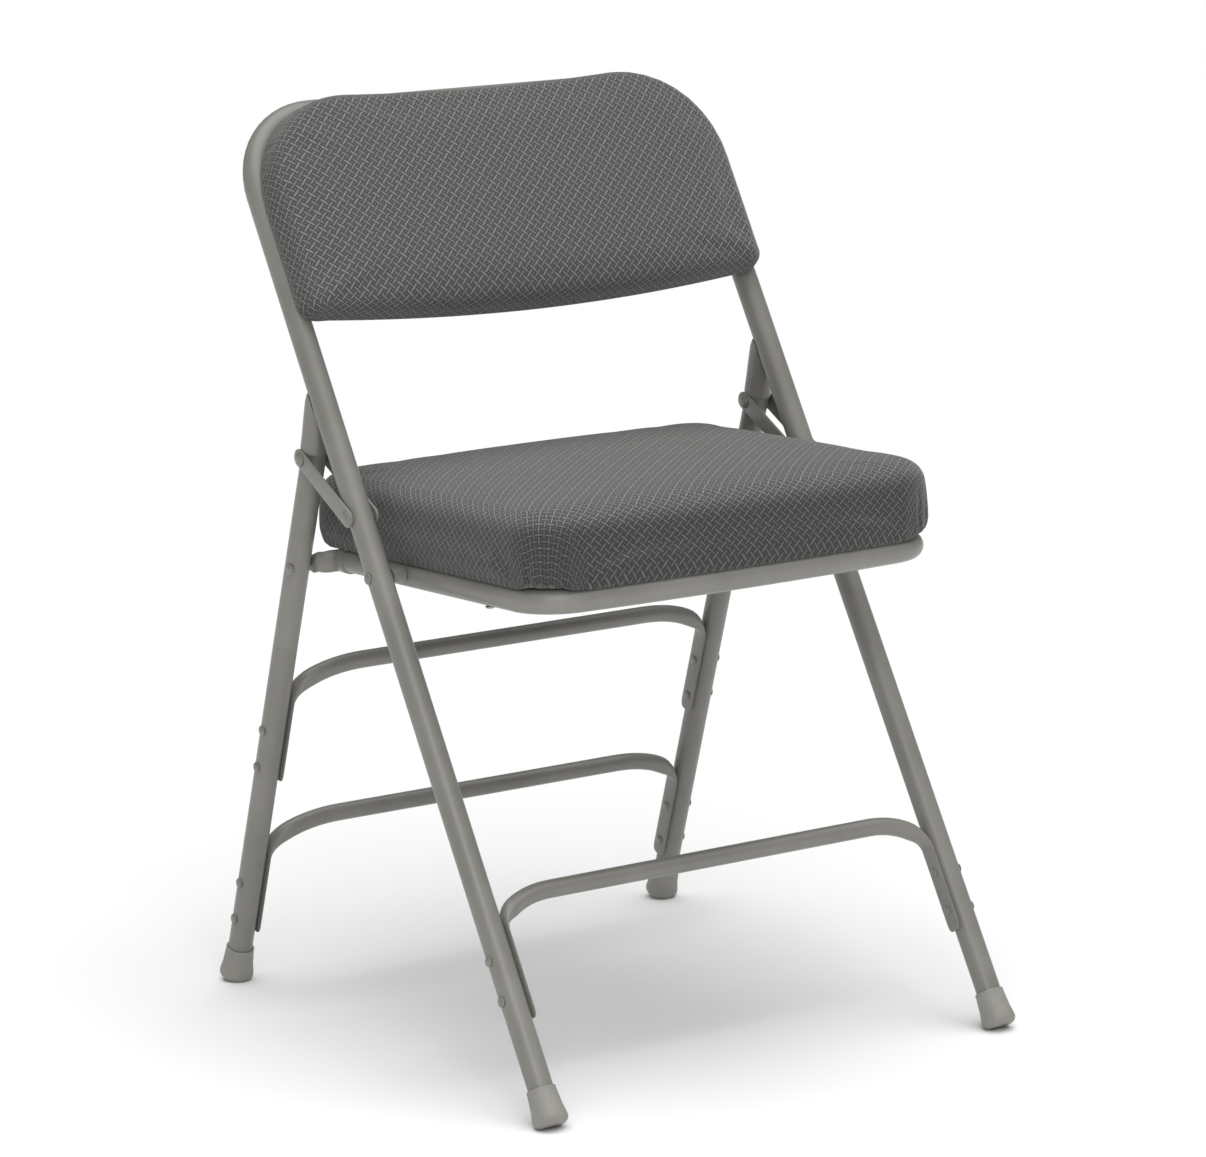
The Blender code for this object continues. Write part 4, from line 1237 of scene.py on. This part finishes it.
def rounded_panel(name, half, low, high, low_round, high_round, base, steps=9):
    """A flat panel in XY with rounded corners, left in edit mode with its face selected."""
    bpy.ops.object.select_all(action="DESELECT")
    bpy.ops.mesh.primitive_plane_add(size=1.0, location=(0.0, (low + high) / 2.0, base))
    obj = bpy.context.object
    obj.name = obj.data.name = name
    obj.scale = (2.0 * half, high - low, 1.0)
    apply_place(obj)
    bpy.ops.object.mode_set(mode="EDIT")
    for radius, is_low in ((low_round, True), (high_round, False)):
        pick(obj, lambda co: abs(co.x) > half - 0.0001 and (
            abs(co.y - low) < 0.0001 if is_low else abs(co.y - high) < 0.0001
        ))
        bpy.ops.mesh.bevel(offset=radius, segments=steps, profile=0.5, affect="VERTICES")
    bpy.ops.mesh.select_all(action="SELECT")
    return obj


def read_points(obj):
    points = np.zeros(len(obj.data.vertices) * 3)
    obj.data.vertices.foreach_get("co", points)
    return points.reshape(-1, 3)


def write_points(obj, points):
    obj.data.vertices.foreach_set("co", points.astype(np.float32).ravel())
    obj.data.update()


def smooth(values, low, high):
    share = np.clip((values - low) / (high - low), 0.0, 1.0)
    return share * share * (3.0 - 2.0 * share)


def puff(obj, held_below):
    """Inflates the cover over its foam. Its side on the board stays, and no point moves far."""
    start = read_points(obj)
    held = np.nonzero(start[:, 2] < held_below)[0].tolist()
    group = obj.vertex_groups.new(name="held")
    group.add(held, 1.0, "REPLACE")
    cloth = obj.modifiers.new("Puff", "CLOTH")
    cover = cloth.settings
    cover.quality = 5
    cover.mass = 0.3
    cover.tension_stiffness = 12.0
    cover.compression_stiffness = 12.0
    cover.shear_stiffness = 4.0
    cover.bending_stiffness = 0.4
    cover.use_pressure = True
    cover.uniform_pressure_force = PUFF_PRESSURE
    cover.vertex_group_mass = group.name
    cover.effector_weights.gravity = 0.0
    cloth.point_cache.frame_start = 1
    cloth.point_cache.frame_end = SIM_FRAMES
    scene = bpy.context.scene
    for step in range(1, SIM_FRAMES + 1):
        scene.frame_set(step)
    only(obj)
    bpy.ops.object.modifier_apply(modifier=cloth.name)
    scene.frame_set(1)
    obj.vertex_groups.clear()
    moved = read_points(obj) - start
    far = np.linalg.norm(moved, axis=1, keepdims=True)
    short = PUFF_REACH * np.tanh(far / PUFF_REACH)
    limit = np.where(far > 1e-9, short / np.maximum(far, 1e-9), 1.0)
    write_points(obj, start + moved * limit)


def lay_cloth(obj, half, low, high, low_round, high_round, top, wall):
    """Lays the cloth's own coordinates: flat over the top, then down each wall.

    It also stores a painted shade for the cloth's colour, from wall on the walls to 1 on the top, so
    the walls read darker than the top.
    """
    mesh = obj.data
    layer = mesh.uv_layers.new(name="cloth")
    x, y, z = read_points(obj).T
    drop = np.maximum(top - z, 0.0)
    is_high = y > (low + high) / 2.0
    radius = np.where(is_high, high_round, low_round)
    out_x = np.abs(x) - (half - radius)
    out_y = np.where(is_high, y - (high - radius), low + radius - y)
    in_corner = (out_x > 0.0) & (out_y > 0.0)
    turn = np.arctan2(np.maximum(out_y, 1e-6), np.maximum(out_x, 1e-6))
    sideways = out_x - radius > out_y - radius
    lean_x = np.where(in_corner, np.cos(turn), sideways)
    lean_y = np.where(in_corner, np.sin(turn), ~sideways)
    u = x + np.sign(x) * lean_x * drop
    v = y + np.where(is_high, 1.0, -1.0) * lean_y * drop
    loops = np.zeros(len(mesh.loops), dtype=np.int64)
    mesh.loops.foreach_get("vertex_index", loops)
    laid = np.stack([u[loops], v[loops]], axis=1)
    layer.data.foreach_set("uv", laid.astype(np.float32).ravel())
    normals = np.zeros(len(mesh.vertices) * 3)
    mesh.vertices.foreach_get("normal", normals)
    # painted shade: the walls' colour is darkened by how far their faces turn from up, so they read
    # darker than the top
    upward = smooth(normals.reshape(-1, 3)[:, 2], 0.05, 0.75)
    painted_wall_shade = mesh.attributes.new("painted_wall_shade", "FLOAT", "POINT")
    painted_wall_shade.data.foreach_set("value", (wall + (1.0 - wall) * upward).astype(np.float32))


def pleats(points, half, corner_y, radius, away, turns, depth, width, top, fade):
    """Presses narrow folds into a corner's wall. They die out towards the top."""
    for sign in (-1.0, 1.0):
        out_x = sign * points[:, 0] - (half - radius)
        out_y = away * (points[:, 1] - corner_y)
        reach = np.hypot(out_x, out_y)
        turn = np.arctan2(out_y, out_x)
        low = 1.0 - smooth(points[:, 2], top - fade, top - 0.25 * fade)
        wall = smooth(reach, radius - 0.010, radius - 0.004) * (out_x > 0) * (out_y > 0)
        for degrees in turns:
            aside = (turn - math.radians(degrees)) * reach
            press = depth * low * wall * np.exp(-((aside / width) ** 2))
            beside = (np.abs(aside) - 2.2 * width) / width
            ridge = 0.45 * depth * low * wall * np.exp(-(beside**2))
            move = (ridge - press) / np.maximum(reach, 1e-6)
            points[:, 0] += sign * move * out_x
            points[:, 1] += away * move * out_y
    return points


class CHAIR_OT_seat_cushion(ChairOperator, bpy.types.Operator):
    """Upholster the seat: a crowned foam pad in woven cloth, tucked at its corners"""

    bl_idname = "chair.seat_cushion"
    bl_label = "Seat cushion"

    def execute(self, context):
        pad = pads()
        half, low, high = pad.seat_half_width, -pad.seat_front, pad.seat_rear
        front_round, rear_round = pad.seat_round, pad.seat_rear_round
        base, top, edge = pad.seat_base, pad.seat_top, pad.edge_round
        cushion = rounded_panel(
            "seat_pad", half, low, high, front_round, rear_round, base + 0.0035
        )
        run(z=top - base - 0.0035)
        bpy.ops.mesh.region_to_loop()
        bpy.ops.mesh.bevel(offset=edge, segments=5, profile=0.5, affect="EDGES")
        leave_edit()
        face_outwards(cushion)
        cushion.data.remesh_voxel_size = pad.voxel
        only(cushion)
        bpy.ops.object.voxel_remesh()
        points = read_points(cushion)
        middle = (low + high) / 2.0
        share_x = np.clip(1.0 - (points[:, 0] / half) ** 2, 0.0, 1.0)
        share_y = np.clip(1.0 - ((points[:, 1] - middle) / (high - middle)) ** 2, 0.0, 1.0)
        rise = smooth(points[:, 2], top - 0.030, top - 0.002)
        points[:, 2] += pad.seat_crown * rise * (share_x * share_y) ** 0.55
        ahead = 1.0 - smooth(points[:, 1], low, low + 0.16)
        points[:, 1] -= SEAT_BOW * ahead * np.clip(1.0 - (points[:, 0] / 0.18) ** 2, 0.0, 1.0)
        write_points(cushion, points)
        puff(cushion, base + 0.012)
        apply_modifier(cushion, "SUBSURF", levels=1, render_levels=1)
        points = read_points(cushion)
        # the walls bulge at mid height and draw in where the cover is pulled under the board
        share = np.clip((points[:, 2] - base) / (top - base), 0.0, 1.0)
        bulge = SEAT_BULGE * (1.0 - (2.0 * share - 1.0) ** 2)
        bulge -= SEAT_DRAW_IN * (1.0 - smooth(share, 0.0, 0.25))
        across = points[:, 0] / half
        ahead = (points[:, 1] - middle) / (high - middle)
        points[:, 0] += np.sign(across) * bulge * smooth(np.abs(across), 0.86, 0.97)
        points[:, 1] += np.sign(ahead) * 0.6 * bulge * smooth(np.abs(ahead), 0.86, 0.97)
        # the cover's lower edge hangs a little over the rail and is tucked under the board
        under = points[:, 2] < base + 0.0065
        inset = np.minimum(
            half - np.abs(points[:, 0]), np.minimum(points[:, 1] - low, high - points[:, 1])
        )
        hang = (1.0 - smooth(points[:, 2], base + 0.004, base + 0.016)) * (
            1.0 - smooth(inset, 0.0015, 0.0075)
        )
        points[:, 2] -= 0.0038 * hang
        points[:, 2] += 0.0030 * under * smooth(inset, 0.026, 0.034)
        points = pleats(
            points, half, low + front_round, front_round, -1.0, (28.0, 47.0, 66.0), 0.0016,
            0.0022, top, 0.050,
        )
        points = pleats(
            points, half, high - rear_round, rear_round, 1.0, (35.0, 58.0), 0.0014, 0.0020, top,
            0.050,
        )
        write_points(cushion, points)
        # painted shade: the seat's walls keep 0.56 of the top's colour
        lay_cloth(cushion, half, low, high, front_round, rear_round, top, 0.56)
        place(cushion, *seat_space())
        cloth = cloth_material("lattice_upholstery")
        nodes = ("seat_cushion", "seat_board")
        finish(cushion, "seat", "woven_fabric", cloth, *nodes, crease=60.0)
        return {"FINISHED"}


class CHAIR_OT_back_cushion(ChairOperator, bpy.types.Operator):
    """Upholster the back: a crowned pad that covers the loop's outline"""

    bl_idname = "chair.back_cushion"
    bl_label = "Back cushion"

    def execute(self, context):
        pad = pads()
        half, low, high = pad.back_half_width, pad.back_bottom, pad.back_top
        low_round, high_round = pad.back_low_round, pad.back_round
        base, top, edge = pad.back_base, pad.back_face, pad.edge_round
        cushion = rounded_panel("back_pad", half, low, high, low_round, high_round, base)
        run(z=top - base)
        bpy.ops.mesh.region_to_loop()
        bpy.ops.mesh.bevel(offset=edge, segments=5, profile=0.5, affect="EDGES")
        leave_edit()
        face_outwards(cushion)
        cushion.data.remesh_voxel_size = pad.voxel
        only(cushion)
        bpy.ops.object.voxel_remesh()
        points = read_points(cushion)
        middle = (low + high) / 2.0
        share_x = np.clip(1.0 - (points[:, 0] / half) ** 2, 0.0, 1.0)
        share_y = np.clip(1.0 - ((points[:, 1] - middle) / (high - middle)) ** 2, 0.0, 1.0)
        rise = smooth(points[:, 2], top - 0.020, top - 0.002)
        points[:, 2] += pad.back_crown * rise * share_x**0.6 * share_y**0.6
        aside = np.minimum((points[:, 0] / 0.218) ** 2, 1.0)
        points[:, 1] += BACK_DROOP * aside * (1.0 - smooth(points[:, 1], low, low + 0.080))
        dip = 1.0 - np.minimum((points[:, 0] / 0.150) ** 2, 1.0)
        points[:, 1] -= BACK_DIP * dip * smooth(points[:, 1], high - 0.080, high)
        write_points(cushion, points)
        puff(cushion, base + 0.006)
        apply_modifier(cushion, "SUBSURF", levels=1, render_levels=1)
        points = read_points(cushion)
        points = pleats(
            points, half, high - high_round, high_round, 1.0, (20.0, 34.0, 48.0, 62.0, 76.0),
            0.0008, 0.0026, top, 0.026,
        )
        write_points(cushion, points)
        # painted shade: the back's walls keep 0.72 of the face's colour
        lay_cloth(cushion, half, low, high, low_round, high_round, top, 0.72)
        turn, origin = front_space()
        place(cushion, math.pi / 2.0 + turn, origin)
        cloth = cloth_material("lattice_upholstery")
        nodes = ("back_cushion", "back_board")
        finish(cushion, "front_frame", "woven_fabric", cloth, *nodes, crease=60.0)
        return {"FINISHED"}


class CHAIR_OT_linings(ChairOperator, bpy.types.Operator):
    """Staple the hemmed dust covers under the seat and behind the back"""

    bl_idname = "chair.linings"
    bl_label = "Linings"

    def execute(self, context):
        size = sizes()
        tube = size.tube_radius
        inner = tube + LINING_GAP
        front_turn, front_origin = front_space()
        rows = (
            ("back_rear_cover", "back_rear_lining", "front_frame",
             (size.half_track - inner, 0.7405, size.loop_top - inner, 0.014,
              size.loop_bend - tube),
             -(tube + 0.0004), math.pi / 2.0 + front_turn, front_origin),
            ("seat_under_cover", "seat_bottom_lining", "seat",
             (size.seat_rail_x - inner, -(size.seat_front - inner),
              size.crossbar_back - size.brace_radius - 0.0018, size.seat_bend - tube, 0.006),
             -(0.0121), *seat_space()),
        )
        for name, node, body, outline, level, turn, origin in rows:
            half, low, high, low_round, high_round = outline
            sheet = rounded_panel(name, half, low, high, low_round, high_round, 0.0)
            run(z=0.0011)
            bpy.ops.mesh.inset(thickness=0.0085, depth=0.0)
            bpy.ops.mesh.inset(thickness=0.0012, depth=-0.0005)
            leave_edit()
            face_outwards(sheet)
            # the hemmed side faces away from the board
            sheet.rotation_euler = (0.0, math.pi, 0.0)
            apply_place(sheet)
            sheet.location = (0.0, 0.0, -level)
            apply_place(sheet)
            place(sheet, turn, origin)
            finish(sheet, body, "lining_cloth", lining_material(), node, crease=25.0)
            self.staple(name, body, outline, -level - 0.0011, turn, origin)
        return {"FINISHED"}

    def staple(self, name, body, outline, level, turn, origin):
        """A row of staples along the hem's straight sides."""
        half, low, high, low_round, high_round = outline
        inset = 0.0044
        spots = []
        count = 9
        for step in range(count):
            share = (step + 0.5) / count
            x = (2.0 * share - 1.0) * (half - high_round - 0.004)
            spots += [(x, high - inset, 0.0), (x, low + inset, 0.0)]
        count = 6
        room = high - low - low_round - high_round - 0.02
        for step in range(count):
            y = low + low_round + 0.01 + (step + 0.5) / count * room
            spots += [(half - inset, y, math.pi / 2.0), (-half + inset, y, math.pi / 2.0)]
        pieces = []
        for x, y, around in spots:
            bpy.ops.object.select_all(action="DESELECT")
            bpy.ops.mesh.primitive_cylinder_add(
                vertices=8,
                radius=STAPLE_RADIUS,
                depth=STAPLE_LENGTH,
                location=(x, y, level),
                rotation=(0.0, math.pi / 2.0, around),
            )
            wire = bpy.context.object
            apply_place(wire)
            edit(wire)
            bpy.ops.mesh.select_all(action="SELECT")
            bpy.ops.mesh.bevel(offset=0.00012, segments=1, affect="EDGES")
            leave_edit()
            pieces.append(wire)
        row = join(f"{name}_staples", *pieces)
        place(row, turn, origin)
        finish(row, body, "zinc_screw", zinc_material(), crease=60.0)


class CHAIR_OT_screws(ChairOperator, bpy.types.Operator):
    """Drive the cross-recessed screws that hold the boards"""

    bl_idname = "chair.screws"
    bl_label = "Screws"

    def execute(self, context):
        size = sizes()
        tube = size.tube_radius + GAP
        head = lathe(
            "screw_pattern",
            [
                (0.0008, -0.0270),
                (0.0020, -0.0245),
                (0.0020, 0.0),
                (0.0042, 0.0),
                (0.0044, 0.0006),
                (0.0040, 0.0014),
                (0.0030, 0.0020),
                (0.0014, 0.0023),
            ],
        )
        face_outwards(head)
        for turn in (0.0, math.pi / 2.0):
            bpy.ops.object.select_all(action="DESELECT")
            bpy.ops.mesh.primitive_cube_add(
                size=1.0, location=(0.0, 0.0, 0.0022), rotation=(0.0, 0.0, turn)
            )
            slot = bpy.context.object
            slot.scale = (0.0042, 0.0009, 0.0022)
            apply_place(slot)
            apply_modifier(head, "BOOLEAN", operation="DIFFERENCE", solver="EXACT", object=slot)
            bpy.data.objects.remove(slot)
        rows = []
        for side, sign in SIDES:
            for level, height in (("lower", 0.655), ("upper", 0.728)):
                at = (sign * size.half_track, tube, along_front(height))
                node = f"back_screw_{side}_{level}"
                rows.append((node, "front_frame", -math.pi / 2.0, at, front_space()))
            for level, ahead in (("rear", -0.060), ("front", 0.120)):
                at = (sign * size.seat_rail_x, -ahead, -tube)
                node = f"seat_screw_{side}_{level}"
                rows.append((node, "seat", math.pi, at, seat_space()))
        for node, body, tip, at, space in rows:
            screw = copy_of(head, node.replace("screw", "screw_head"))
            place(screw, tip, at)
            place(screw, *space)
            finish(screw, body, "zinc_screw", zinc_material(), node, crease=35.0)
        bpy.data.objects.remove(head)
        return {"FINISHED"}


# Stage


class CHAIR_OT_stage(ChairOperator, bpy.types.Operator):
    """Set the pale floor, the soft light and the camera"""

    bl_idname = "chair.stage"
    bl_label = "Stage"

    def execute(self, context):
        stage = context.scene.chair_stage
        bpy.ops.object.select_all(action="DESELECT")
        bpy.ops.mesh.primitive_plane_add(size=120.0, location=(0.0, 0.0, -0.0002))
        floor = context.object
        floor.name = "studio_floor"
        material, _, shader = new_material("studio_floor")
        shader.inputs["Base Color"].default_value = tuple(stage.floor)
        shader.inputs["Roughness"].default_value = 0.8
        shader.inputs["Specular IOR Level"].default_value = 0.1
        floor.data.materials.append(material)
        world = bpy.data.worlds.new("studio")
        context.scene.world = world
        world.use_nodes = True
        backdrop = world.node_tree.nodes["Background"]
        backdrop.inputs["Color"].default_value = (1.0, 1.0, 1.0, 1.0)
        backdrop.inputs["Strength"].default_value = stage.sky
        lamp = bpy.data.lights.new("overhead", "SUN")
        lamp.energy = stage.sun
        lamp.angle = math.radians(70.0)
        light = bpy.data.objects.new("overhead", lamp)
        light.rotation_euler = (math.radians(5.0), math.radians(3.0), 0.0)
        context.scene.collection.objects.link(light)
        panel = bpy.data.lights.new("key", "AREA")
        panel.energy = stage.key
        panel.size = 1.1
        soft = bpy.data.objects.new("key", panel)
        soft.location = (-1.1, -1.7, 1.5)
        aim = Vector((0.0, 0.0, 0.45)) - soft.location
        soft.rotation_euler = aim.to_track_quat("-Z", "Y").to_euler()
        context.scene.collection.objects.link(soft)
        context.scene.view_settings.view_transform = "Standard"
        camera = bpy.data.objects.new("camera", bpy.data.cameras.new("camera"))
        context.scene.collection.objects.link(camera)
        a, e, r = stage.azimuth, stage.elevation, stage.roll
        back = Vector((math.sin(a) * math.cos(e), -math.cos(a) * math.cos(e), math.sin(e)))
        right = Vector((math.cos(a), math.sin(a), 0.0))
        up = back.cross(right)
        side = math.cos(r) * right + math.sin(r) * up
        top = math.cos(r) * up - math.sin(r) * right
        spot = Vector(stage.target) + back * stage.distance
        camera.matrix_world = Matrix(
            (
                (side.x, top.x, back.x, spot.x),
                (side.y, top.y, back.y, spot.y),
                (side.z, top.z, back.z, spot.z),
                (0.0, 0.0, 0.0, 1.0),
            )
        )
        camera.data.lens = stage.focal
        camera.data.sensor_width = 36.0
        camera.data.clip_end = 200.0
        context.scene.camera = camera
        return {"FINISHED"}


STEPS = (
    "stage",
    "front_tube",
    "rear_tubes",
    "seat_tube",
    "braces",
    "rivets",
    "links",
    "brackets",
    "feet",
    "caps",
    "seat_cushion",
    "back_cushion",
    "linings",
    "screws",
)


class CHAIR_PT_build(bpy.types.Panel):
    """Lists the chair's operators and settings"""

    bl_label = "Folding Chair"
    bl_idname = "CHAIR_PT_build"
    bl_space_type = "VIEW_3D"
    bl_region_type = "UI"
    bl_category = "Chair"

    def draw(self, context):
        for step in STEPS:
            self.layout.operator(f"chair.{step}")
        for label in GROUPS:
            box = self.layout.box()
            settings = getattr(context.scene, label)
            for name in settings.__annotations__:
                box.prop(settings, name)


GROUPS = {
    "chair_frame": ChairFrameSizes,
    "chair_pads": ChairPadSizes,
    "chair_finishes": ChairFinishes,
    "chair_stage": ChairStage,
}
CLASSES = (
    *GROUPS.values(),
    CHAIR_OT_stage,
    CHAIR_OT_front_tube,
    CHAIR_OT_rear_tubes,
    CHAIR_OT_seat_tube,
    CHAIR_OT_braces,
    CHAIR_OT_rivets,
    CHAIR_OT_links,
    CHAIR_OT_brackets,
    CHAIR_OT_feet,
    CHAIR_OT_caps,
    CHAIR_OT_seat_cushion,
    CHAIR_OT_back_cushion,
    CHAIR_OT_linings,
    CHAIR_OT_screws,
    CHAIR_PT_build,
)


def register():
    for item in CLASSES:
        bpy.utils.register_class(item)
    for label, group in GROUPS.items():
        setattr(bpy.types.Scene, label, bpy.props.PointerProperty(type=group))


def unregister():
    for label in GROUPS:
        delattr(bpy.types.Scene, label)
    for item in reversed(CLASSES):
        bpy.utils.unregister_class(item)


def main():
    register()
    for step in STEPS:
        getattr(bpy.ops.chair, step)()


if __name__ == "__main__":
    main()
